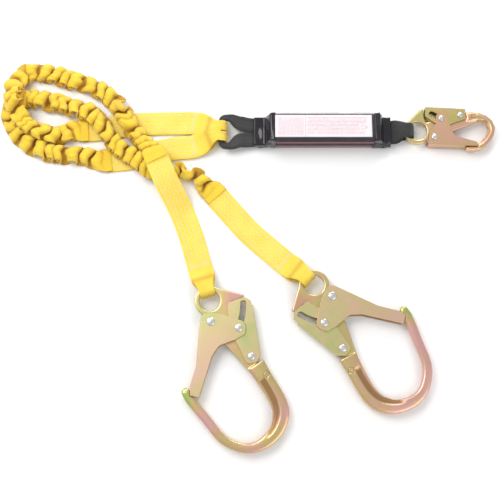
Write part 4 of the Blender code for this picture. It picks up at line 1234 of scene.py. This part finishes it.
def label_material(name):
    """Pale printed film: generic rows of print, a ruled table on the left and an arrow on the right."""
    material, tree, shader = shader_material(name)
    coordinates = tree.nodes.new("ShaderNodeTexCoord")
    parts = tree.nodes.new("ShaderNodeSeparateXYZ")
    tree.links.new(coordinates.outputs["UV"], parts.inputs[0])
    x, y = parts.outputs["X"], parts.outputs["Y"]

    def between(value, low, high):
        above = math_node(tree, "GREATER_THAN", value, low)
        return math_node(tree, "MULTIPLY", above, math_node(tree, "LESS_THAN", value, high))

    def rows(pitch, share):
        place_in_row = math_node(tree, "FRACT", math_node(tree, "DIVIDE", y, pitch))
        return math_node(tree, "LESS_THAN", place_in_row, share)

    row_number = math_node(tree, "FLOOR", math_node(tree, "DIVIDE", y, 2.1 * MM))
    words = tree.nodes.new("ShaderNodeCombineXYZ")
    tree.links.new(math_node(tree, "DIVIDE", x, 1.1 * MM), words.inputs["X"])
    tree.links.new(math_node(tree, "MULTIPLY", row_number, 3.7), words.inputs["Y"])
    broken = math_node(tree, "GREATER_THAN", noise_node(tree, words.outputs[0], 1.0, detail=2), 0.44)
    inside = math_node(tree, "MULTIPLY", between(x, -24 * MM, 62 * MM), between(y, -13.5 * MM, 13.5 * MM))
    outside_arrow = math_node(tree, "SUBTRACT", 1, arrow_mask(tree, x, y, between)[1])
    inside = math_node(tree, "MULTIPLY", inside, outside_arrow)
    print_rows = math_node(tree, "MULTIPLY", rows(2.1 * MM, 0.42), broken)
    print_rows = math_node(tree, "MULTIPLY", print_rows, inside)
    small = math_node(tree, "MULTIPLY", rows(1.5 * MM, 0.4), between(x, -66 * MM, -29 * MM))
    small = math_node(tree, "MULTIPLY", small, between(y, -13.5 * MM, 13.5 * MM))
    small = math_node(tree, "MULTIPLY", small, broken)
    rule = between(x, -26.6 * MM, -26.0 * MM)
    ink = math_node(tree, "MAXIMUM", print_rows, small)
    ink = math_node(tree, "MAXIMUM", ink, rule)
    ink = math_node(tree, "MAXIMUM", ink, arrow_mask(tree, x, y, between)[0])
    blotch = noise_node(tree, coordinates.outputs["Object"], 30, detail=3)
    paper = mix_node(tree, blotch, (0.82, 0.76, 0.78), (0.74, 0.65, 0.69))
    printed = mix_node(tree, math_node(tree, "MULTIPLY", ink, 0.62), paper, (0.42, 0.20, 0.25))
    tree.links.new(printed, shader.inputs["Base Color"])
    rough = math_node(tree, "MULTIPLY_ADD", blotch, 0.2)
    rough.node.inputs[2].default_value = 0.28
    tree.links.new(rough, shader.inputs["Roughness"])
    shader.inputs["Coat Weight"].default_value = 0.35
    shader.inputs["Coat Roughness"].default_value = 0.15
    bump_node(tree, shader, blotch, 0.3, 0.6 * MM)
    return material


def arrow_mask(tree, x, y, between):
    """A hollow triangle that points to the right, and the area kept free of print round it."""
    along = math_node(tree, "SUBTRACT", x, 55 * MM)
    half = math_node(tree, "MULTIPLY", math_node(tree, "SUBTRACT", 9 * MM, along), 0.45)
    height = math_node(tree, "ABSOLUTE", math_node(tree, "ADD", y, 2 * MM))
    off_slope = math_node(tree, "ABSOLUTE", math_node(tree, "SUBTRACT", height, half))
    sloped = math_node(tree, "LESS_THAN", off_slope, 0.45 * MM)
    sides = math_node(tree, "MULTIPLY", sloped, between(along, 0.0, 9 * MM))
    base, area = (
        math_node(tree, "MULTIPLY", between(along, low, high), math_node(tree, "LESS_THAN", height, reach))
        for low, high, reach in ((-0.3 * MM, 0.3 * MM, 4 * MM), (-3 * MM, 12 * MM, 6 * MM))
    )
    return math_node(tree, "MAXIMUM", sides, base), area


def tear_material(name, weave):
    """Black tear webbing whose edges show rows of red tear stitches."""
    material, tree, shader = shader_material(name)
    coordinates = tree.nodes.new("ShaderNodeTexCoord")
    cloth = place_group(
        tree, weave, UV=coordinates.outputs["UV"], Vector=coordinates.outputs["Object"],
        Yarn=1.1 * MM, Chevron=6 * MM,
    )
    # Painted shade: the ramp over the weave's relief darkens the hollows between the yarns.
    base = ramp_node(tree, cloth.outputs["Shade"], [(0.2, (0.018, 0.015, 0.018)), (0.8, (0.06, 0.05, 0.055))])
    parts = tree.nodes.new("ShaderNodeSeparateXYZ")
    tree.links.new(coordinates.outputs["Object"], parts.inputs[0])
    edge = math_node(tree, "GREATER_THAN", math_node(tree, "ABSOLUTE", parts.outputs["Y"]), 16.5 * MM)
    rows = math_node(tree, "PINGPONG", math_node(tree, "SUBTRACT", parts.outputs["Z"], 11 * MM), 11 * MM)
    low = math_node(tree, "LESS_THAN", parts.outputs["Z"], 22 * MM)
    band = math_node(tree, "MULTIPLY", low, math_node(tree, "GREATER_THAN", rows, 3.5 * MM))
    mask = math_node(tree, "MULTIPLY", edge, band)
    turns = math_node(tree, "MULTIPLY", parts.outputs["X"], 2 * math.pi / (2.6 * MM))
    stripes = math_node(tree, "SINE", turns)
    stripes = math_node(tree, "MULTIPLY_ADD", stripes, 0.2)
    stripes.node.inputs[2].default_value = 0.75
    colour = mix_node(tree, math_node(tree, "MULTIPLY", mask, stripes), base, (0.95, 0.40, 0.45))
    tree.links.new(colour, shader.inputs["Base Color"])
    shader.inputs["Roughness"].default_value = 0.7
    shader.inputs["Sheen Weight"].default_value = 0.25
    bump_node(tree, shader, cloth.outputs["Height"], 0.6, 0.16 * MM)
    return material


def black_snap_strap():
    """The black loop from the sleeve to the snap hook's eye, as a strap's stations."""
    swing = Vector(JOINTS["snap_hook_swing"]["pos_m"])
    route = [(90, 0, 8), (100, 0, 8)]
    heading = Vector((1, 0, 0))
    return strap_stations(
        route, swing, heading, 7.45 * MM, EYE_STRAP_WIDTH, STRAP_WIDTH, 27 * MM, 20 * MM
    )


def link_stations():
    """The folded black webbing from the sleeve through both leg loops and back into the sleeve."""
    middle = SLEEVE_END_HEIGHT / 2 / MM
    height = LINK_HEIGHT / MM
    corner = (8.2 * MM + PACK_EYE_WIDTH / 2 + 0.3 * MM) / MM
    out = corner + 9 * 0.9
    bar = LINK_X / MM
    side = [
        (-89, 10, middle), (-109, 11.5, middle + 1), (bar + 26, out - 10, height),
        (bar + 14, out - 3, height), (bar + 3, out - 3, height), (bar, corner - 1, height),
        (bar, corner / 2, height),
    ]
    route = side + [(x, -y, z) for x, y, z in side[::-1]]
    points = smooth_route([Vector(p) * MM for p in route], STRAP_STEP)
    stations = []
    for index, here in enumerate(points):
        along = (points[min(index + 1, len(points) - 1)] - points[max(index - 1, 0)]).normalized()
        across = Vector((-along.y, along.x, 0)).normalized()
        up = along.cross(across)
        up = up if up.z > 0 else -up
        gathered = float(ease((-118 * MM - here.x) / (-118 * MM - LINK_X - 6 * MM)))
        width = 23 * MM * (1 - gathered) + 10 * MM * gathered
        stations.append((here, across, up, width, 4.4 * MM * (1 - gathered) + 6.4 * MM * gathered))
    return stations


def link_mesh(name, stations):
    """The link as two layers of webbing folded together, with the crease showing between them."""
    rings, along = [], []
    travelled = 0.0
    sides = 36
    for index, (middle, across, up, width, thickness) in enumerate(stations):
        if index:
            travelled += (middle - stations[index - 1][0]).length
        along.append(travelled)
        ring = []
        for step in range(sides):
            angle = 2 * math.pi * step / sides
            c, s = math.cos(angle), math.sin(angle)
            a = math.copysign(abs(c) ** 0.55, c)
            h = math.copysign(abs(s) ** 0.7, s)
            crease = 1 - 0.30 * math.exp(-(((a - 0.25) / 0.14) ** 2)) * (s > 0)
            crease -= 0.22 * math.exp(-(((abs(c) - 1) / 0.03) ** 2))
            ring.append(middle + across * a * width / 2 + up * h * thickness / 2 * crease)
        rings.append(ring)
    across_lengths = [math.sin(2 * math.pi * step / sides) * 17 * MM for step in range(sides)]
    return tube_mesh(name, rings, across_lengths, along)


# Settings


class LanyardMetal(bpy.types.PropertyGroup):
    """How the hooks are finished."""

    forging_voxel: bpy.props.FloatProperty(
        name="Forging detail", description="Size of the smallest forged detail", default=0.75 * MM,
        min=0.4 * MM, unit="LENGTH",
    )
    forging_smoothing: bpy.props.IntProperty(
        name="Forging softness", description="How often the forging's edges are softened", default=9, min=0,
    )
    sheet_edge: bpy.props.FloatProperty(
        name="Sheet edge", description="Rounding of the gate's and lever's cut edges", default=0.65 * MM,
        min=0, unit="LENGTH",
    )
    rose: bpy.props.FloatProperty(
        name="Rose tint", description="How far the plating drifts from gold to rose", default=-0.1,
        min=-1, max=1,
    )
    lever_rose: bpy.props.FloatProperty(
        name="Lever tint", description="How far the levers' plating drifts, green below 0 and rose above",
        default=-0.45, min=-2, max=2,
    )
    grain: bpy.props.FloatProperty(
        name="Grain", description="Strength of the plating's fine relief", default=0.12, min=0, max=1,
    )


class LanyardWebbing(bpy.types.PropertyGroup):
    """Colours and gathering of the webbing."""

    yellow: bpy.props.FloatVectorProperty(
        name="Yellow", description="Colour of the leg webbing's yarns", subtype="COLOR",
        default=(0.97, 0.79, 0.12), min=0, max=1,
    )
    # Painted shade of the weave: the colour painted between the yarns.
    gold: bpy.props.FloatVectorProperty(
        name="Gold", description="Colour between the yarns", subtype="COLOR",
        default=(0.88, 0.57, 0.03), min=0, max=1,
    )
    # Painted shade: this colour is painted down in the elastic's folds and on the straps' shaded bands.
    fold_shade_gold: bpy.props.FloatVectorProperty(
        name="Fold gold", description="Colour down in the elastic's folds", subtype="COLOR",
        default=(0.50, 0.25, 0.008), min=0, max=1,
    )
    thread: bpy.props.FloatVectorProperty(
        name="Thread", description="Colour of the pale stitching", subtype="COLOR",
        default=(0.98, 0.84, 0.62), min=0, max=1,
    )
    # The elastic's own deeper yellow, darkened a little further as painted shade of its gathered folds.
    stretch_yellow: bpy.props.FloatVectorProperty(
        name="Elastic yellow", description="Colour of the gathered webbing's yarns", subtype="COLOR",
        default=(0.93, 0.68, 0.055), min=0, max=1,
    )
    eye_bunching: bpy.props.FloatProperty(
        name="Eye bunching", description="Ripple of a strap where it narrows to an eye", default=1.6 * MM,
        unit="LENGTH",
    )
    elastic_step: bpy.props.FloatProperty(
        name="Elastic detail", description="Spacing of the rings along the elastic", default=0.8 * MM,
        min=0.4 * MM, unit="LENGTH",
    )
    gather_wave: bpy.props.FloatProperty(
        name="Gather wave", description="Mean length of one fold and hollow", default=16.5 * MM,
        unit="LENGTH",
    )
    gather_height: bpy.props.FloatProperty(
        name="Gather height", description="How far a fold rises from the middle", default=6.4 * MM,
        unit="LENGTH",
    )
    gather_lean: bpy.props.FloatProperty(
        name="Gather lean", description="How far folds bulge over their neighbours", default=3.0 * MM,
        unit="LENGTH",
    )
    gather_width: bpy.props.FloatProperty(
        name="Gather width", description="Width of the gathered band", default=26.5 * MM, unit="LENGTH",
    )
    gather_curl: bpy.props.FloatProperty(
        name="Gather curl", description="How far the band's edges droop", default=4.0 * MM, unit="LENGTH",
    )
    gather_ply: bpy.props.FloatProperty(
        name="Gather thickness", description="Thickness of the gathered band", default=3.8 * MM,
        unit="LENGTH",
    )
    gather_roll: bpy.props.FloatProperty(
        name="Gather roll", description="How far the band rolls about its length", default=0.55,
        unit="ROTATION",
    )


class LanyardStage(bpy.types.PropertyGroup):
    """The floor, the lights and the camera."""

    floor_colour: bpy.props.FloatVectorProperty(
        name="Floor", description="Colour of the plain floor", subtype="COLOR", default=(0.93, 0.93, 0.93),
        min=0, max=1,
    )
    key_power: bpy.props.FloatProperty(
        name="Key light", description="Power of the large light overhead", default=15, unit="POWER",
    )
    camera_distance: bpy.props.FloatProperty(
        name="Camera distance", description="From the camera to its aim point", default=1.22, unit="LENGTH",
    )
    camera_height: bpy.props.FloatProperty(
        name="Camera elevation", description="How steeply the camera looks down",
        default=math.radians(77.5), subtype="ANGLE",
    )
    camera_lens: bpy.props.FloatProperty(
        name="Lens", description="Focal length", default=60.55, subtype="DISTANCE_CAMERA",
    )


# Operators

GROUPS = {}


def shared_group(name, build):
    """A node group that is built the first time it is asked for."""
    if name not in GROUPS:
        GROUPS[name] = build()
    return GROUPS[name]


def yellow_cloth(look, name, gathered):
    group = shared_group("weave", weave_group)
    # The gathered webbing takes the darker elastic yellow, which is partly painted shade.
    yarns = look.stretch_yellow if gathered else look.yellow
    return cloth_material(
        name, group, tuple(look.gold), tuple(yarns), 1.2 * MM, 8.75 * MM, 0.62, 0.3, tuple(look.fold_shade_gold)
    )


def black_cloth(name):
    group = shared_group("weave", weave_group)
    # Painted shade: the darker end of the ramp lies in the weave's hollows.
    low, high = (0.008, 0.008, 0.009), (0.042, 0.041, 0.043)
    return cloth_material(name, group, low, high, 1.3 * MM, 4.4 * MM, 0.55, 0.3)


class LANYARD_OT_forgings(bpy.types.Operator):
    """Forge the bodies of the three hooks"""

    bl_idname = "lanyard.forgings"
    bl_label = "Hook forgings"

    def execute(self, context):
        look = context.scene.lanyard_metal
        plating = shared_group("zinc", zinc_group)
        material = zinc_material("plated forging", plating, 0.0, True, look.grain)
        for prefix in HOOKS:
            forged_body(prefix, material, look)
        return {"FINISHED"}


class LANYARD_OT_sheet_parts(bpy.types.Operator):
    """Press the gates and lock levers"""

    bl_idname = "lanyard.sheet_parts"
    bl_label = "Gates and levers"

    def execute(self, context):
        look = context.scene.lanyard_metal
        plating = shared_group("zinc", zinc_group)
        for prefix, hook in HOOKS.items():
            for part, body, rose in (
                ("gate", f"{hook['body']}_gate", look.rose),
                ("lock_lever", f"{hook['body']}_lever", look.lever_rose),
            ):
                material = zinc_material(f"{prefix} {part} plating", plating, rose, False, look.grain, prefix)
                pressed_sheet(f"{prefix}_{part}", body, material, look)
        return {"FINISHED"}


class LANYARD_OT_rivets(bpy.types.Operator):
    """Set the rivets and give the springs a wire material"""

    bl_idname = "lanyard.rivets"
    bl_label = "Rivets and springs"

    def execute(self, context):
        bright = steel_material("peened steel", (0.80, 0.80, 0.81), 0.16, True)
        wire = steel_material("spring wire", (0.42, 0.42, 0.44), 0.3, False)
        for prefix, hook in HOOKS.items():
            body = hook["body"]
            riders = {"gate_rivet": body, "guide_rivet": f"{body}_gate", "lever_rivet": body}
            for part, rider in riders.items():
                domed_rivet(prefix, part, rider, bright, f"{prefix}_{part}")
            for part in ("gate_spring", "lever_spring"):
                NODES[f"{prefix}_{part}"].data.materials.clear()
                NODES[f"{prefix}_{part}"].data.materials.append(wire)
        return {"FINISHED"}


class LANYARD_OT_leg_straps(bpy.types.Operator):
    """Sew the flat parts of the two legs"""

    bl_idname = "lanyard.leg_straps"
    bl_label = "Leg straps"

    def execute(self, context):
        look = context.scene.lanyard_webbing
        cloth = yellow_cloth(look, "yellow webbing", False)
        thread = thread_material("pale thread", tuple(look.thread))
        tree = stitch_tree(thread)
        for leg in PACK_STRAPS:
            bar = Vector((LINK_X, LEG_SIDE[leg], LINK_HEIGHT))
            stations = strap_stations(
                PACK_STRAPS[leg], bar, Vector((1, 0, 0)), BAR_FOLD, PACK_EYE_WIDTH, STRAP_WIDTH, PACK_SPREAD,
                PACK_TAPER,
            )
            leg_strap(f"{leg}_pack_strap", stations, cloth, thread, tree, look, 40 * MM)
            swing = JOINTS[f"{LEG_HOOK[leg]}_swing"]
            axis = Vector(swing["axis"])
            heading = Vector((axis.y, -axis.x, 0))
            stations = strap_stations(
                HOOK_STRAPS[leg], Vector(swing["pos_m"]), heading, HOOK_FOLD, EYE_STRAP_WIDTH, STRAP_WIDTH,
                EYE_SPREAD, EYE_TAPER,
            )
            leg_strap(f"{leg}_hook_strap", stations, cloth, thread, tree, look, 36 * MM)
        return {"FINISHED"}


class LANYARD_OT_elastics(bpy.types.Operator):
    """Gather the elastic parts of the two legs"""

    bl_idname = "lanyard.elastics"
    bl_label = "Elastic legs"

    def execute(self, context):
        look = context.scene.lanyard_webbing
        cloth = yellow_cloth(look, "gathered webbing", True)
        edge_on = {"leg_1": [], "leg_2": [(455 * MM, 545 * MM)]}
        flats = {"leg_1": (2.9 * MM, 30 * MM), "leg_2": (2.9 * MM, 2.9 * MM)}
        for seed, leg in enumerate(ELASTICS):
            other = ELASTICS["leg_2" if leg == "leg_1" else "leg_1"]
            mesh, line = gathered_tube(
                f"{leg}_gathered", ELASTICS[leg], other, flats[leg], look, seed * 11 + 3, edge_on[leg]
            )
            node = f"{leg}_elastic"
            made = place(f"{leg}_gathered", mesh, cloth, "absorber", [node])
        return {"FINISHED"}


class LANYARD_OT_black_webbing(bpy.types.Operator):
    """Make the black loops at the two ends of the pack"""

    bl_idname = "lanyard.black_webbing"
    bl_label = "Black loops"

    def execute(self, context):
        look = context.scene.lanyard_webbing
        cloth = black_cloth("black webbing")
        lower, folded, back = black_snap_strap()
        mesh = webbing_mesh("snap_end_strap", lower + folded + back, PLY, bunch=look.eye_bunching * 0.5)
        place("snap_end_loop", mesh, cloth, "absorber", ["snap_end_strap"])
        mesh = link_mesh("leg_end_strap", link_stations())
        place("leg_end_link", mesh, cloth, "absorber", ["leg_end_strap"])
        return {"FINISHED"}


class LANYARD_OT_pack(bpy.types.Operator):
    """Fold the tear webbing and shrink the labelled sleeve over it"""

    bl_idname = "lanyard.pack"
    bl_label = "Absorber pack"

    def execute(self, context):
        weave = shared_group("weave", weave_group)
        stations, thickness = tear_stations()
        mesh = webbing_mesh("tear_webbing", stations, thickness, narrow=40 * MM)
        tear = tear_material("tear webbing", weave)
        place("tear_stack", mesh, tear, "absorber", ["tear_webbing"])
        place("pack_label", label_mesh("pack_label"), label_material("label film"), "absorber",
              ["absorber_label"])
        film = vinyl_material("clear vinyl", (0.05, 0.045, 0.06), 0.14)
        collar = vinyl_material("shrunk vinyl", (0.011, 0.009, 0.013), 1.0)
        left = -PACK_HALF + LEFT_SHOULDER + RAMP
        right = PACK_HALF - RIGHT_SHOULDER - RAMP
        sleeve_part("sleeve_film", left - 1 * MM, right + 1 * MM, 0.35 * MM, 0.35 * MM, 0.4 * MM, film)
        collar_shape = (0, 0.8 * MM, 3.6 * MM, collar)
        sleeve_part("sleeve_left_collar", -PACK_HALF, left + 6 * MM, *collar_shape, ["absorber_cover"])
        sleeve_part("sleeve_right_collar", right - 6 * MM, PACK_HALF, *collar_shape)
        return {"FINISHED"}


class LANYARD_OT_stage(bpy.types.Operator):
    """Lay the floor and set the lights and the camera"""

    bl_idname = "lanyard.stage"
    bl_label = "Stage"

    def execute(self, context):
        look = context.scene.lanyard_stage
        aim = Vector((-0.1071, -0.1766, 0))
        back = Vector((0, -math.cos(look.camera_height), math.sin(look.camera_height)))
        camera = bpy.data.cameras.new("camera")
        camera.lens = look.camera_lens
        camera.sensor_width = 36
        camera.clip_start = 0.01
        holder = bpy.data.objects.new("camera", camera)
        context.scene.collection.objects.link(holder)
        holder.location = aim + back * look.camera_distance
        holder.rotation_euler = (-back).to_track_quat("-Z", "Y").to_euler()
        context.scene.camera = holder
        bm = bmesh.new()
        bmesh.ops.create_grid(bm, x_segments=8, y_segments=8, size=3)
        mesh = bpy.data.meshes.new("floor")
        bm.to_mesh(mesh)
        bm.free()
        floor = bpy.data.objects.new("floor", mesh)
        context.scene.collection.objects.link(floor)
        material, _, shader = shader_material("plain floor")
        shader.inputs["Base Color"].default_value = (*look.floor_colour, 1)
        shader.inputs["Roughness"].default_value = 0.8
        mesh.materials.append(material)
        lights = (
            ("key", (-0.75, 0.55, 1.3), 1.1, look.key_power),
            ("fill", (0.9, -0.9, 1.1), 1.2, look.key_power * 0.42),
            ("rim", (0.35, 1.1, 0.7), 0.5, look.key_power * 0.34),
        )
        for name, position, size, power in lights:
            light = bpy.data.lights.new(name, "AREA")
            light.shape = "DISK"
            light.size = size
            light.energy = power
            lamp = bpy.data.objects.new(name, light)
            context.scene.collection.objects.link(lamp)
            lamp.location = Vector(position) + aim
            lamp.rotation_euler = Vector(position).to_track_quat("Z", "Y").to_euler()
        context.scene.view_settings.view_transform = "Standard"
        world = bpy.data.worlds.new("studio")
        context.scene.world = world
        world.use_nodes = True
        background = world.node_tree.nodes["Background"]
        background.inputs["Color"].default_value = (1, 1, 1, 1)
        background.inputs["Strength"].default_value = 0.62
        return {"FINISHED"}


class LANYARD_PT_sidebar(bpy.types.Panel):
    """The lanyard's settings and operators"""

    bl_idname = "LANYARD_PT_sidebar"
    bl_label = "Lanyard"
    bl_space_type = "VIEW_3D"
    bl_region_type = "UI"
    bl_category = "Lanyard"

    def draw(self, context):
        for operator in OPERATORS:
            self.layout.operator(operator.bl_idname)
        scene = context.scene
        for settings in (scene.lanyard_metal, scene.lanyard_webbing, scene.lanyard_stage):
            box = self.layout.box()
            for key in settings.__annotations__:
                box.prop(settings, key)


OPERATORS = (
    LANYARD_OT_stage,
    LANYARD_OT_elastics,
    LANYARD_OT_leg_straps,
    LANYARD_OT_black_webbing,
    LANYARD_OT_pack,
    LANYARD_OT_forgings,
    LANYARD_OT_sheet_parts,
    LANYARD_OT_rivets,
)
SETTINGS = {
    "lanyard_metal": LanyardMetal,
    "lanyard_webbing": LanyardWebbing,
    "lanyard_stage": LanyardStage,
}


def register():
    for kind in (*SETTINGS.values(), *OPERATORS, LANYARD_PT_sidebar):
        bpy.utils.register_class(kind)
    for key, kind in SETTINGS.items():
        setattr(bpy.types.Scene, key, bpy.props.PointerProperty(type=kind))


def unregister():
    for key in SETTINGS:
        delattr(bpy.types.Scene, key)
    for kind in (LANYARD_PT_sidebar, *OPERATORS[::-1], *SETTINGS.values()):
        bpy.utils.unregister_class(kind)


def main():
    register()
    for operator in OPERATORS:
        group, name = operator.bl_idname.split(".")
        getattr(getattr(bpy.ops, group), name)()


if __name__ == "__main__":
    main()
